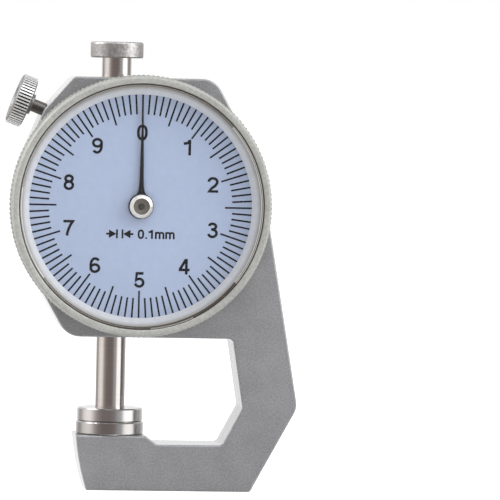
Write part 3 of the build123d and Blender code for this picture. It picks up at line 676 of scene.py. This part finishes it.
class RepeatTree:
    """A Geometry Nodes tree that sets a small block round a ring, again and again."""

    def __init__(self) -> None:
        """Builds the tree with named inputs for its sizes."""
        sizes = {
            "Geometry": "Geometry", "Count": 100, "Inner": 14.2 * MM, "Outer": 17.0 * MM, "Long inner": 13.0 * MM,
            "Long every": 5, "Width": 0.2 * MM, "Height": 0.01 * MM, "Ridged": False, "Material": "Material",
        }
        group = GroupWriter("blocks_round_a_ring", "GeometryNodeTree", sizes, {"Geometry": "Geometry"})
        given, maths, out = group.given, group.maths, group.out
        index = out("GeometryNodeInputIndex")
        turn = maths("DIVIDE", maths("MULTIPLY", index, 2 * math.pi), given["Count"])
        is_long = maths("LESS_THAN", maths("MODULO", index, given["Long every"]), 0.5)
        reach = maths("SUBTRACT", given["Inner"], given["Long inner"])
        inner = maths("SUBTRACT", given["Inner"], maths("MULTIPLY", is_long, reach))
        length = maths("SUBTRACT", given["Outer"], inner)
        middle = maths("MULTIPLY", maths("ADD", given["Outer"], inner), 0.5)
        east = maths("MULTIPLY", middle, maths("SINE", turn))
        north = maths("MULTIPLY", middle, maths("COSINE", turn))
        place = out("ShaderNodeCombineXYZ", {0: east, 1: north})
        line = out("GeometryNodeMeshLine", {"Count": given["Count"], "Offset": (0.0, 0.0, 0.0)})
        spots = out("GeometryNodeSetPosition", {"Geometry": line, "Position": place})
        block = out("GeometryNodeMeshCube", {"Size": (1.0, 1.0, 1.0)})
        ridge = out("GeometryNodeMeshCylinder", {"Vertices": 4, "Radius": 0.5, "Depth": 1.0})
        choice = {0: given["Ridged"], "False": block, "True": ridge}
        shape = out("GeometryNodeSwitch", choice, input_type="GEOMETRY")
        facing = out("ShaderNodeCombineXYZ", {2: maths("MULTIPLY", turn, -1.0)})
        size = out("ShaderNodeCombineXYZ", {0: given["Width"], 1: length, 2: given["Height"]})
        laid = {"Points": spots, "Instance": shape, "Rotation": facing, "Scale": size}
        real = out("GeometryNodeRealizeInstances", {0: out("GeometryNodeInstanceOnPoints", laid)})
        inked = out("GeometryNodeSetMaterial", {"Geometry": real, "Material": given["Material"]})
        self.tree = group.close({"Geometry": inked})

    def bake(self, name: str, place: Matrix, **sizes: object) -> Object:
        """Runs the tree and keeps its result as a plain mesh.

        Args:
            name: The new object's name.
            place: Where the ring's own plane lies.
            **sizes: The tree's inputs by name, lengths in millimetres, with underscores for spaces.

        Returns:
            The new object.
        """
        holder = add_object(name, bpy.data.meshes.new(name))
        modifier = holder.modifiers.new("repeat", "NODES")
        modifier.node_group = self.tree
        for item in self.tree.interface.items_tree:
            label = item.name.replace(" ", "_")
            if item.in_out == "INPUT" and label in sizes:
                value = sizes[label]
                modifier[item.identifier] = value * MM if isinstance(value, float) else value
        bpy.context.view_layer.update()
        graph = bpy.context.evaluated_depsgraph_get()
        mesh = bpy.data.meshes.new_from_object(holder.evaluated_get(graph))
        holder.modifiers.remove(modifier)
        mesh.transform(place)
        holder.data = mesh
        return holder


@dataclass
class Gauge:
    """Places and materials shared by the sub-assemblies, in metres. The front is the frame's front face."""

    frame: dict
    frame_front: float = -0.005
    effects: SurfaceEffects = field(default_factory=SurfaceEffects)
    built: dict[Finish, Material] = field(default_factory=dict)

    def __post_init__(self) -> None:
        """Reads the dial's centre and the locking screw's place and direction."""
        joints = {joint["name"]: joint for joint in self.frame["joints"]}
        pivot, screw = joints["bezel_turn"]["pos_m"], joints["thumb_screw_turn"]
        self.dial_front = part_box("dial_plate")[0].y
        self.dial_centre = Vector((pivot[0], self.dial_front, pivot[2]))
        self.screw_head = Vector(screw["pos_m"])
        self.screw_out = Vector(screw["axis"]).normalized()

    def material(self, finish: Finish) -> Material:
        """Gives a finish's material, built at its first use.

        Args:
            finish: The finish.

        Returns:
            Its one material.
        """
        if finish not in self.built:
            self.built[finish] = finish.build(self.effects)
        return self.built[finish]

    def coat(self, finish: Finish, *names: str) -> None:
        """Gives CAD nodes a finish."""
        for name in names:
            dress(self.frame["nodes"][name], self.material(finish))

    def dial_plane(self, lift: float) -> Matrix:
        """The dial's plane, x right, y up and z to the viewer, lifted by millimetres from the dial's surface."""
        origin = self.dial_centre + Vector((0.0, -lift * MM, 0.0))
        return Matrix.Translation(origin) @ Matrix.Rotation(math.pi / 2, 4, "X")

    def front_plane(self, height: float) -> Matrix:
        """The same plane at a height in front of the frame's front face, in millimetres."""
        return self.dial_plane(height + (self.dial_front - self.frame_front) / MM)

    def front_lathe(self) -> Lathe:
        """A lathe about the dial's axis, with heights counted in front of the frame's front face."""
        origin = Vector((self.dial_centre.x, self.frame_front, self.dial_centre.z))
        return Lathe(origin, Vector((0.0, -1.0, 0.0)), Vector((0.0, 0.0, 1.0)))

    def screw_lathe(self) -> Lathe:
        """A lathe about the locking screw's axis, with heights counted inwards from its head's middle."""
        return Lathe(self.screw_head, -self.screw_out, Vector((0.0, 1.0, 0.0)))


Coats = tuple[tuple[Finish, tuple[str, ...]], ...]


@dataclass
class CoatedGroup:
    """A sub-assembly whose CAD pieces keep their shapes: each finish with the nodes that it coats."""

    gauge: Gauge
    coats: Coats = ()

    def dress(self) -> None:
        """Coats the nodes."""
        for finish, names in self.coats:
            self.gauge.coat(finish, *names)


@dataclass
class Housing(CoatedGroup):
    """The cast frame and its flat rear cover."""

    coats: Coats = (
        (Finish("casting_coat", (0.308, 0.312, 0.321), (0.226, 0.229, 0.236), metallic=0.3, roughness=0.46, spread=0.1,
                scale=3600.0, relief=0.012, coat=1.0, coat_roughness=0.14), ("frame_casting",)),
        (Finish("cover_coat", (0.33, 0.333, 0.34), (0.26, 0.262, 0.267), metallic=0.35, roughness=0.42, spread=0.12,
                scale=4200.0, relief=0.008, coat=0.12), ("back_cover",)),
    )


@dataclass
class Movement(CoatedGroup):
    """Brass, steel and spring wire inside the housing."""

    coats: Coats = (
        (Metal("movement_brass", (0.72, 0.52, 0.24), (0.6, 0.42, 0.18), spread=0.1, scale=7000.0, relief=0.003),
         ("lower_bush", "upper_bush", "movement_plate", "movement_bridge", "bridge_pillars", "spring_post",
          "hairspring_stud", "hairspring_collet", "clamp_pad")),
        (Metal("screw_steel", (0.58, 0.58, 0.57), (0.4, 0.4, 0.4), spread=0.1),
         ("back_cover_screws", "plate_screws", "bridge_screws")),
        (Metal("spring_wire", (0.46, 0.46, 0.48), (0.3, 0.3, 0.32), roughness=0.32),
         ("bezel_snap_ring", "hairspring", "return_spring")),
        (Metal("hidden_steel", (0.6, 0.59, 0.57), (0.45, 0.44, 0.42), roughness=0.26),
         ("guide_pin", "spring_hook_pin")),
    )


@dataclass
class Spindle(CoatedGroup):
    """The polished spindle, its two contact discs and the lifting button."""

    coats: Coats = (
        (Metal("spindle_steel", (0.66, 0.62, 0.6), (0.5, 0.46, 0.44), roughness=0.13, spread=0.04,
               grain=Grain.TURNED), ("spindle_rack",)),
        (Metal("contact_steel", (0.68, 0.66, 0.65), (0.54, 0.52, 0.51), roughness=0.2, spread=0.06,
               grain=Grain.TURNED, scale=8000.0, relief=0.003), ("contact_disc",)),
        (Metal("anvil_steel", (0.56, 0.54, 0.53), (0.45, 0.43, 0.42), roughness=0.22, spread=0.06,
               grain=Grain.TURNED, scale=8000.0, relief=0.003), ("anvil_disc",)),
        (Finish("button_steel", (0.5, 0.485, 0.48), (0.33, 0.315, 0.31), metallic=0.8, roughness=0.45, spread=0.1,
                scale=2400.0, relief=0.02), ("lifting_button",)),
    )


@dataclass
class DialPrint:
    """The lacquered dial with its graduations, numerals, unit and a thickness sign of two arrows and two bars."""

    gauge: Gauge
    repeat: RepeatTree
    divisions: int = 100
    long_every: int = 5
    tick_outer: float = 17.19
    tick_inner: float = 14.15
    long_inner: float = 13.0
    tick_width: float = 0.27
    ink_height: float = 0.012
    numerals: int = 10
    numeral_across: float = 11.73
    numeral_up: float = 11.34
    numeral_height: float = 2.4
    numeral_pen: float = 0.172
    legend_drop: float = 4.3
    legend_height: float = 1.385
    legend_pen: float = 0.21
    legend_starts: tuple[tuple[str, float], ...] = (("0", 0.0), (".", 0.86), ("1", 1.19), ("m", 1.93), ("m", 3.08))
    legend_left: float = -0.37
    sign_centre: float = -3.17
    arrow: tuple[Point, ...] = (
        (-2.1, -0.15), (-1.66, -0.15), (-1.66, -0.64), (-0.5, 0.0), (-1.66, 0.64), (-1.66, 0.15), (-2.1, 0.15),
    )
    bar: tuple[Point, ...] = ((-0.56, -0.69), (-0.29, -0.69), (-0.29, 0.69), (-0.56, 0.69))
    lacquer: Finish = Finish(
        "dial_lacquer", (0.338, 0.394, 0.526), (0.32, 0.377, 0.51), roughness=0.42, spread=0.06, scale=900.0, coat=0.1
    )
    ink: Finish = Finish(
        "dial_ink", (0.003, 0.003, 0.004), (0.006, 0.006, 0.007), roughness=0.6, spread=0.1, scale=5000.0, shine=0.08
    )

    def build(self) -> None:
        """Lacquers the dial and prints on it."""
        self.gauge.coat(self.lacquer, "dial_plate")
        ink = self.gauge.material(self.ink)
        plane = self.gauge.dial_plane(self.ink_height / 2)
        ticks = self.repeat.bake(
            "dial_graduations", plane, Count=self.divisions, Inner=self.tick_inner, Outer=self.tick_outer,
            Long_inner=self.long_inner, Long_every=self.long_every, Width=self.tick_width, Height=self.ink_height,
            Material=ink,
        )
        fit(ticks, ink, "bezel")
        figures = figure_strokes()
        prints: list[tuple[str, list[Stroke], float]] = []
        for number in range(self.numerals):
            angle = math.radians(360 * number / self.numerals)
            strokes = figures[str(number)]
            xs = [x for stroke in strokes for x, _ in stroke.line]
            x = self.numeral_across * math.sin(angle) - (min(xs) + max(xs)) / 2 * self.numeral_height
            y = self.numeral_up * math.cos(angle) - self.numeral_height / 2
            placed = [stroke.placed(self.numeral_height, (x, y)) for stroke in strokes]
            prints.append((f"numeral_{number}", placed, self.numeral_pen * self.numeral_height))
        foot = -self.legend_drop - self.legend_height / 2
        words = [
            stroke.placed(self.legend_height, (self.legend_left + start * self.legend_height, foot))
            for sign, start in self.legend_starts
            for stroke in figures[sign]
        ]
        prints.append(("unit_mark", words, self.legend_pen * self.legend_height))
        sheet = Sheet(plane, self.ink_height)
        for name, lines, width in prints:
            fit(sheet.draw(name, lines, width), ink, "bezel")
        sign = [
            [(side * x + self.sign_centre, y - self.legend_drop) for x, y in outline][::side]
            for side in (1, -1)
            for outline in (self.arrow, self.bar)
        ]
        fit(sheet.cut("thickness_sign", sign), ink, "bezel")


@dataclass(frozen=True)
class WireStretch:
    """Lengths of the split wire at the crystal's rim, each from one angle to another, 0 at the right."""

    name: str
    radius: float
    height: float
    width: float
    spans: tuple[Point, ...]
    # A bright finish paints highlight on a stretch, and a dark one paints shade.
    finish: Finish


@dataclass
class Bezel:
    """The knurled bezel ring with the retainer, gasket and crystal inside it. Heights are from the frame's front."""

    gauge: Gauge
    repeat: RepeatTree
    rim: float = 20.07
    knurl_outer: float = 20.23
    knurl_ends: Point = (0.5, 3.2)
    teeth: int = 172
    back: float = 0.1
    chamfer: float = 0.2
    opening: float = 19.05
    bore: float = 18.95
    ledge_radius: float = 18.2
    ledge: Point = (1.05, 1.35)
    lip: float = 18.93
    lip_back: float = 4.2
    inner_front: float = 4.7
    crest: float = 4.85
    crest_shift: float = 0.1
    crown: float = 1.45
    crown_steps: int = 10
    lip_turn: float = 160.0
    lip_steps: int = 6
    sharp_above: float = 35.0
    seat: float = 3.3
    crystal_radius: float = 18.7
    crystal_edge: float = 4.5
    crystal_apex: float = 4.9
    crystal_thickness: float = 1.1
    crystal_break: float = 0.1
    crystal_steps: int = 8
    wire_thickness: float = 0.13
    wire_steps: int = 60
    # One wire in a lit and a shaded copy of its finish: the bright stretches are painted highlight and the dark stretch
    # is painted shade, where the real wire reflects bright or dark surroundings.
    bright: Finish = Metal("retaining_wire", (0.8, 0.79, 0.76), (0.65, 0.64, 0.6), metallic=0.7)
    shaded: Finish = Metal("wire_shade", (0.09, 0.075, 0.06), (0.06, 0.05, 0.04), metallic=0.3, roughness=0.5)
    wires: tuple[WireStretch, ...] = (
        WireStretch("crystal_wire", 18.5, 3.37, 0.13, ((42.0, -38.0), (-143.0, -188.0)), bright),
        WireStretch("crystal_wire_end", 18.765, 4.24, 0.12, ((-64.0, -84.8),), bright),
        WireStretch("crystal_wire_shaded", 18.6, 3.37, 0.28, ((-38.0, -143.0),), shaded),
    )
    metal: Finish = Finish(
        "bezel_satin", (0.42, 0.422, 0.395), (0.33, 0.332, 0.31), metallic=0.25, roughness=0.55, scale=2600.0,
        relief=0.004, coat=0.1,
    )
    # The retainer's white fades to brown at its outer edge: painted shade from the bezel and the crystal's edge falling
    # on the ring.
    retainer: Finish = Finish(
        "retainer_white", (0.53, 0.536, 0.558), (0.49, 0.495, 0.515), roughness=0.4, scale=1200.0,
        rim=(17.85, 18.6, (0.2, 0.175, 0.13)),
    )
    rubber: Finish = Finish("gasket_brown", (0.075, 0.055, 0.04), (0.05, 0.04, 0.03), roughness=0.55, spread=0.1)

    def build(self) -> None:
        """Builds the ring with its knurl, the crystal and the wire, and dresses what the ring holds."""
        self._ring()
        self._knurl()
        self.gauge.coat(self.retainer.placed(self.gauge.dial_centre), "dial_retainer_ring")
        self.gauge.coat(self.rubber, "crystal_gasket")
        self._crystal()
        for wire in self.wires:
            lines = [Stroke(arc((0.0, 0.0), wire.radius, start, end, self.wire_steps)) for start, end in wire.spans]
            sheet = Sheet(self.gauge.front_plane(wire.height), self.wire_thickness)
            fit(sheet.draw(wire.name, lines, wire.width), self.gauge.material(wire.finish), "bezel")

    def _ring(self) -> None:
        """Turns the ring with its rounded front."""
        middle = (self.rim + self.opening) / 2 + self.crest_shift
        low, high = self.ledge
        profile = [
            (self.lip, self.inner_front), (self.lip, self.lip_back), (self.opening, self.lip_back),
            (self.opening, self.seat), (self.bore, self.seat), (self.bore, high), (self.ledge_radius, high),
            (self.ledge_radius, low), (self.bore, low), (self.bore, self.back), (self.rim - self.chamfer, self.back),
            (self.rim, self.back + self.chamfer),
        ]
        profile += arc((middle, self.crest - self.crown), self.rim - middle, 0.0, 90.0, self.crown_steps, self.crown)
        rise, reach = self.crest - self.inner_front, middle - self.lip
        profile += arc((middle, self.inner_front), reach, 90.0, self.lip_turn, self.lip_steps, rise)[1:]
        ring = self.gauge.front_lathe().turn("bezel_body", profile, 2 * self.teeth, self.sharp_above)
        fit(ring, self.gauge.material(self.metal), "bezel", "bezel_ring")

    def _crystal(self) -> None:
        """Turns the domed crystal, smoother than its CAD facets."""
        steps = [i / self.crystal_steps for i in range(self.crystal_steps + 1)]
        flat = self.crystal_radius - self.crystal_break
        inner, outer = self.crystal_apex - self.crystal_thickness, self.crystal_apex
        under = [(x * (flat - self.crystal_break), inner - x * x * (inner - self.seat)) for x in steps]
        over = [(x * flat, outer - x * x * (outer - self.crystal_edge)) for x in steps[::-1]]
        side = [(self.crystal_radius, self.seat), (self.crystal_radius, self.crystal_edge - self.crystal_break)]
        crystal = self.gauge.front_lathe().turn("crystal_dome", under + side + over)
        fit(crystal, ClearFinish().build(), "bezel", "crystal")

    def _knurl(self) -> None:
        """Sets the straight knurl's teeth round the rim."""
        start, end = self.knurl_ends
        metal = self.gauge.material(self.metal)
        root = self.knurl_outer - 2 * (self.knurl_outer - self.rim)
        teeth = self.repeat.bake(
            "bezel_knurl", self.gauge.front_plane((start + end) / 2), Count=self.teeth, Inner=root,
            Outer=self.knurl_outer, Long_inner=root, Width=2 * math.pi * self.rim / self.teeth, Height=end - start,
            Ridged=True, Material=metal,
        )
        fit(teeth, metal, "bezel")


@dataclass
class Pointer:
    """The black hand and its turned boss.

    The mouth is the edge and the flat round the recess, the cone its edge and its drop. The floor's gaps and drops
    are at its inner and its outer side.
    """

    gauge: Gauge
    eye_radius: float = 1.95
    eye_steps: int = 40
    thickness: float = 0.25
    blade: tuple[Point, ...] = (
        (0.84, 1.6), (0.66, 1.95), (0.5, 2.3), (0.41, 2.7), (0.345, 3.3), (0.3, 4.5), (0.24, 8.0), (0.155, 12.0),
        (0.05, 16.1),
    )
    boss_radius: float = 1.82
    boss_back: float = 2.25
    boss_front: float = 3.4
    boss_edge: float = 0.05
    boss_floor: float = 0.3
    cone: Point = (0.06, 0.28)
    recess_radius: float = 1.24
    mouth: Point = (0.04, 0.1)
    nose_radius: float = 0.5
    floor_gaps: Point = (0.02, 0.01)
    floor_drops: Point = (0.5, 0.42)
    segments: int = 96
    lacquer: Finish = Finish(
        "pointer_lacquer", (0.004, 0.004, 0.005), (0.008, 0.008, 0.009), spread=0.1, scale=4000.0, shine=0.12
    )
    steel: Finish = Metal(
        "boss_steel", (0.86, 0.84, 0.8), (0.66, 0.62, 0.57), roughness=0.22, grain=Grain.TURNED, relief=0.004
    )
    # The recess floor is the boss's turned steel painted dark: painted shade in the recess.
    recess: Finish = Metal(
        "boss_recess", (0.17, 0.148, 0.128), (0.12, 0.103, 0.09), metallic=0.5, roughness=0.6, grain=Grain.TURNED,
        relief=0.001,
    )
    nose: Finish = Metal("arbor_blued", (0.05, 0.045, 0.035), (0.035, 0.03, 0.025), metallic=0.6, roughness=0.5)

    def build(self) -> None:
        """Cuts the hand and turns the boss."""
        self.gauge.coat(self.nose, "pinion_arbor")
        self._hand()
        self._boss()

    def _hand(self) -> None:
        """Cuts the hand with its flared root round its eye."""
        depth = (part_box("pointer_hand")[0].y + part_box("pointer_hand")[1].y) / 2
        turn = math.degrees(math.asin(self.blade[0][0] / self.eye_radius))
        outline = arc((0.0, 0.0), self.eye_radius, 90.0 + turn, 450.0 - turn, self.eye_steps)
        outline += [point for point in self.blade if point[1] > outline[-1][1]]
        outline += [(-x, y) for x, y in self.blade[::-1] if y > outline[0][1]]
        sheet = Sheet(self.gauge.dial_plane((self.gauge.dial_front - depth) / MM), self.thickness)
        hand = sheet.cut("pointer_blade", [outline])
        fit(hand, self.gauge.material(self.lacquer), "pointer", "pointer_hand")

    def _boss(self) -> None:
        """Turns the boss's ring and the floor of its recess."""
        outer, back, front, recess = self.boss_radius, self.boss_back, self.boss_front, self.recess_radius
        ledge, edge = back + self.boss_floor, self.boss_edge
        (mouth_edge, mouth_flat), (cone_edge, cone_drop) = self.mouth, self.cone
        ring = [
            (recess, front - mouth_edge), (recess, ledge), (recess - self.boss_floor, ledge),
            (recess - self.boss_floor, back), (outer - edge, back), (outer, back + edge),
            (outer, front - cone_drop - cone_edge), (outer - cone_edge, front - cone_drop),
            (recess + mouth_flat, front), (recess + mouth_edge, front),
        ]
        nose, wall = self.nose_radius + self.floor_gaps[0], recess - self.floor_gaps[1]
        inner_drop, outer_drop = self.floor_drops
        floor = [(nose, front - inner_drop), (nose, ledge), (wall, ledge), (wall, front - outer_drop)]
        pieces = ("boss_ring", ring, self.steel, "pointer_boss"), ("boss_floor", floor, self.recess, None)
        for name, profile, finish, node in pieces:
            turned = self.gauge.front_lathe().turn(name, profile, self.segments)
            material = self.gauge.material(finish.placed(self.gauge.dial_centre))
            fit(turned, material, "pointer", node)


@dataclass
class ThumbScrew:
    """The knurled locking screw. Heights run from its head's middle towards the spindle.

    The groove's skin is how far the dark ground, partly oxide in the hollows and partly painted shade, goes below and
    above the grooves.
    """

    gauge: Gauge
    repeat: RepeatTree
    segments: int = 104
    shank_segments: int = 64
    teeth: int = 50
    tooth_share: float = 0.52
    tooth_margin: float = 0.2
    groove_depth: float = 0.15
    groove_skin: Point = (0.3, 0.015)
    head_radius: float = 4.0
    head_ends: Point = (-1.25, 1.25)
    edge_radius: float = 0.35
    dish_radius: float = 2.125
    dish_depth: float = 0.2
    collar_radius: float = 1.6
    collar_length: float = 0.5
    shank_start: float = 1.65
    shank_radius: float = 1.0
    tip: float = 9.96
    bore_radius: float = 0.43
    bore_depth: float = 1.6
    nickel: Finish = Metal(
        "screw_nickel", (0.82, 0.815, 0.81), (0.7, 0.695, 0.69), metallic=0.5, spread=0.06, grain=Grain.TURNED,
        scale=8000.0, relief=0.003,
    )
    # The head's end face and collar are the teeth's nickel painted darker: painted shade.
    face: Finish = Metal(
        "screw_face", (0.26, 0.255, 0.25), (0.21, 0.205, 0.2), metallic=0.6, roughness=0.45, spread=0.06,
        grain=Grain.TURNED, scale=8000.0, relief=0.004,
    )
    oxide: Finish = Metal(
        "shank_oxide", (0.16, 0.15, 0.14), (0.1, 0.1, 0.095), metallic=0.9, roughness=0.4, spread=0.1,
        grain=Grain.TURNED, scale=6000.0, relief=0.004,
    )
    # Dark ground in the grooves: partly oxide in the hollows, partly painted shade where the teeth keep the light out.
    soot: Finish = Finish(
        "groove_shade", (0.015, 0.015, 0.014), (0.01, 0.01, 0.01), roughness=0.7, scale=4000.0, shine=0.1
    )

    def build(self) -> None:
        """Builds head, shank and knurl in place of the plain CAD screw."""
        gauge, bend = self.gauge, self.edge_radius
        turn = (0.0, -math.atan2(gauge.screw_out.x, gauge.screw_out.z), 0.0)
        nickel, face, oxide = (
            gauge.material(finish.placed(gauge.screw_head, turn)) for finish in (self.nickel, self.face, self.oxide)
        )
        (outside, inside), radius = self.head_ends, self.head_radius - self.groove_depth
        dish, collar = outside + self.dish_depth, inside + self.collar_length
        head = [(0.0, dish), (self.dish_radius - self.dish_depth, dish), (self.dish_radius, outside)]
        head += arc((radius - bend, outside + bend), bend, -90.0, 0.0)
        head += arc((radius - bend, inside - bend), bend, 0.0, 90.0)
        head += [(self.collar_radius, inside), (self.collar_radius, collar), (0.0, collar)]
        bore = self.tip - self.bore_depth
        shank = [
            (0.0, self.shank_start), (self.shank_radius, self.shank_start), (self.shank_radius, self.tip),
            (self.bore_radius, self.tip), (self.bore_radius, bore), (0.0, bore),
        ]
        low, high = radius - self.groove_skin[0], radius + self.groove_skin[1]
        grooves = [(low, outside + bend), (high, outside + bend), (high, inside - bend), (low, inside - bend)]
        lathe = gauge.screw_lathe()
        pieces = [
            (lathe.turn("thumb_screw_head", head, self.segments), face),
            (lathe.turn("thumb_screw_shank", shank, self.shank_segments), oxide),
        ]
        inward = -gauge.screw_out
        middle = gauge.screw_head + inward * ((outside + inside) / 2 * MM)
        plane = Matrix.Translation(middle) @ inward.to_track_quat("Z", "Y").to_matrix().to_4x4()
        root = self.head_radius - 2 * self.groove_depth
        teeth = self.repeat.bake(
            "thumb_screw_knurl", plane, Count=self.teeth, Inner=root, Outer=self.head_radius, Long_inner=root,
            Width=2 * math.pi * radius / self.teeth * self.tooth_share,
            Height=inside - outside - 2 * self.tooth_margin, Ridged=False, Material=nickel,
        )
        ground = lathe.turn("thumb_screw_grooves", grooves, self.segments)
        pieces += [(teeth, nickel), (ground, gauge.material(self.soot))]
        for (piece, material), node in zip(pieces, ("thumb_screw", None, None, None)):
            fit(piece, material, "thumb_screw", node)


def away(azimuth: float, elevation: float) -> Vector:
    """Gives the direction from the object to an azimuth from its front and an elevation, in degrees."""
    a, e = math.radians(azimuth), math.radians(elevation)
    return Vector((math.sin(a) * math.cos(e), -math.cos(a) * math.cos(e), math.sin(e)))


@dataclass(frozen=True)
class Lamp:
    """A soft rectangular lamp, placed by its direction from the object."""

    name: str
    azimuth: float
    elevation: float
    distance: float
    size: Point
    power: float

    def build(self, aim: Vector) -> None:
        """Adds the lamp.

        Args:
            aim: The point that it lights.
        """
        data = bpy.data.lights.new(self.name, "AREA")
        data.shape = "RECTANGLE"
        data.size, data.size_y = self.size
        data.energy = self.power
        lamp = add_object(self.name, data)
        back = away(self.azimuth, self.elevation)
        lamp.location = aim + back * self.distance
        lamp.rotation_euler = back.to_track_quat("Z", "Y").to_euler()


@dataclass
class Studio:
    """Pale floor, soft lamps, a bright room and the camera."""

    gauge: Gauge
    azimuth: float = -6.3
    elevation: float = 2.3
    roll: float = 1.25
    distance: float = 0.75
    sensor: float = 36.0
    pixels_per_mm: float = 6.498
    image_size: float = 500.0
    dial_pixel: Point = (140.7, 206.25)
    aim: tuple[float, ...] = (0.004, 0.0, 0.035)
    lamps: tuple[Lamp, ...] = (
        Lamp("key_right", 64.0, 28.0, 0.5, (0.2, 0.45), 1.25),
        Lamp("front_above", 15.0, 52.0, 0.6, (0.5, 0.35), 1.15),
        Lamp("left_above", -100.0, 38.0, 0.5, (0.3, 0.3), 1.68),
    )
    floor_half: float = 4.0
    floor_grey: float = 0.9
    floor_roughness: float = 0.9
    floor_glow: float = 0.45
    ceiling: Colour = (0.75, 0.76, 0.78)
    ceiling_from: float = 0.1
    ceiling_to: float = 0.75
    wall_strength: float = 2.0
    walls: tuple[tuple[float, Colour], ...] = (
        (0.0, (0.56, 0.56, 0.56)), (0.083, (0.45, 0.45, 0.45)), (0.111, (0.23, 0.22, 0.22)),
        (0.161, (0.24, 0.235, 0.225)), (0.21, (0.52, 0.51, 0.5)), (0.275, (0.62, 0.6, 0.59)),
        (0.306, (0.52, 0.49, 0.48)), (0.345, (0.25, 0.23, 0.22)), (0.378, (0.155, 0.14, 0.13)),
        (0.417, (0.115, 0.1, 0.096)), (0.5, (0.11, 0.095, 0.092)), (0.545, (0.14, 0.127, 0.125)),
        (0.56, (0.21, 0.21, 0.215)), (0.608, (0.26, 0.265, 0.275)), (0.634, (0.78, 0.78, 0.78)),
        (0.722, (0.82, 0.82, 0.82)), (0.756, (0.4, 0.39, 0.38)), (0.772, (0.16, 0.15, 0.145)),
        (0.819, (0.17, 0.16, 0.155)), (0.861, (0.32, 0.32, 0.32)), (0.906, (0.4, 0.4, 0.4)), (1.0, (0.56, 0.56, 0.56)),
    )

    def build(self) -> None:
        """Builds the room, the lamps and the camera."""
        self._floor()
        self._world()
        for lamp in self.lamps:
            lamp.build(Vector(self.aim))
        self._camera()
        scene = bpy.context.scene
        scene.view_settings.view_transform = "Standard"

    def _camera(self) -> None:
        """Sets the camera so that the dial's centre falls where the photograph has it."""
        a, r = math.radians(self.azimuth), math.radians(self.roll)
        back = away(self.azimuth, self.elevation)
        level = Vector((math.cos(a), math.sin(a), 0.0))
        upright = back.cross(level)
        right = level * math.cos(r) + upright * math.sin(r)
        up = upright * math.cos(r) - level * math.sin(r)
        across, down = ((self.image_size / 2 - pixel) / self.pixels_per_mm * MM for pixel in self.dial_pixel)
        target = self.gauge.dial_centre + right * across - up * down
        data = bpy.data.cameras.new("camera")
        data.sensor_width = self.sensor
        data.lens = self.sensor * self.distance / (self.image_size / self.pixels_per_mm * MM)
        data.clip_start, data.clip_end = 0.01, 20.0
        camera = add_object("camera", data)
        turn = Matrix((right, up, back)).transposed().to_4x4()
        camera.matrix_world = Matrix.Translation(target + back * self.distance) @ turn
        bpy.context.scene.camera = camera

    def _floor(self) -> None:
        """Lays the pale floor, which stays white to the camera but keeps the shadow."""
        material, write, shader = new_material("pale_floor")
        rays = write.add("ShaderNodeLightPath").outputs
        looks = {
            "Base Color": (self.floor_grey, self.floor_grey, self.floor_grey, 1.0),
            "Roughness": self.floor_roughness,
            "Emission Color": WHITE,
            "Emission Strength": write.maths("MULTIPLY", rays["Is Camera Ray"], self.floor_glow),
        }
        write.feed(shader, looks)
        write.let_through(rays["Is Glossy Ray"], shader)
        half = self.floor_half
        corners = [(-half, -half, 0.0), (half, -half, 0.0), (half, half, 0.0), (-half, half, 0.0)]
        floor = new_mesh("floor", corners, [(0, 1, 2, 3)])
        dress(floor, material)

    def _world(self) -> None:
        """Makes a room that is bright above and at the sides, darker and warmer behind the camera."""
        world = bpy.data.worlds.new("studio_room")
        bpy.context.scene.world = world
        world.use_nodes = True
        write = NodeWriter(world.node_tree)
        place = write.add("ShaderNodeTexCoord").outputs["Generated"]
        x, y, z = write.add("ShaderNodeSeparateXYZ", {0: place}).outputs
        turn = write.maths("ARCTAN2", x, write.maths("MULTIPLY", y, -1.0))
        around = write.maths("MULTIPLY_ADD", turn, 0.5 / math.pi, 0.5)
        room = write.ramp(around, self.walls)
        height = write.out("ShaderNodeMapRange", {0: z, 1: self.ceiling_from, 2: self.ceiling_to})
        brighter = write.out("ShaderNodeVectorMath", {0: room, "Scale": self.wall_strength}, operation="SCALE")
        lit = write.blend(height, brighter, (*self.ceiling, 1.0))
        rays = write.add("ShaderNodeLightPath").outputs
        seen = write.maths("MAXIMUM", rays["Is Camera Ray"], rays["Is Transmission Ray"])
        background = world.node_tree.nodes["Background"]
        write.feed(background, {"Color": write.blend(seen, lit, WHITE), "Strength": 1.0})


def main() -> None:
    """Builds the gauge's looks in order."""
    logging.basicConfig(level=logging.INFO)
    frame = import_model()
    gauge = Gauge(frame)
    repeat = RepeatTree()
    Studio(gauge).build()
    Housing(gauge).dress()
    Movement(gauge).dress()
    Spindle(gauge).dress()
    DialPrint(gauge, repeat).build()
    Bezel(gauge, repeat).build()
    Pointer(gauge).build()
    ThumbScrew(gauge, repeat).build()


if __name__ == "__main__":
    main()
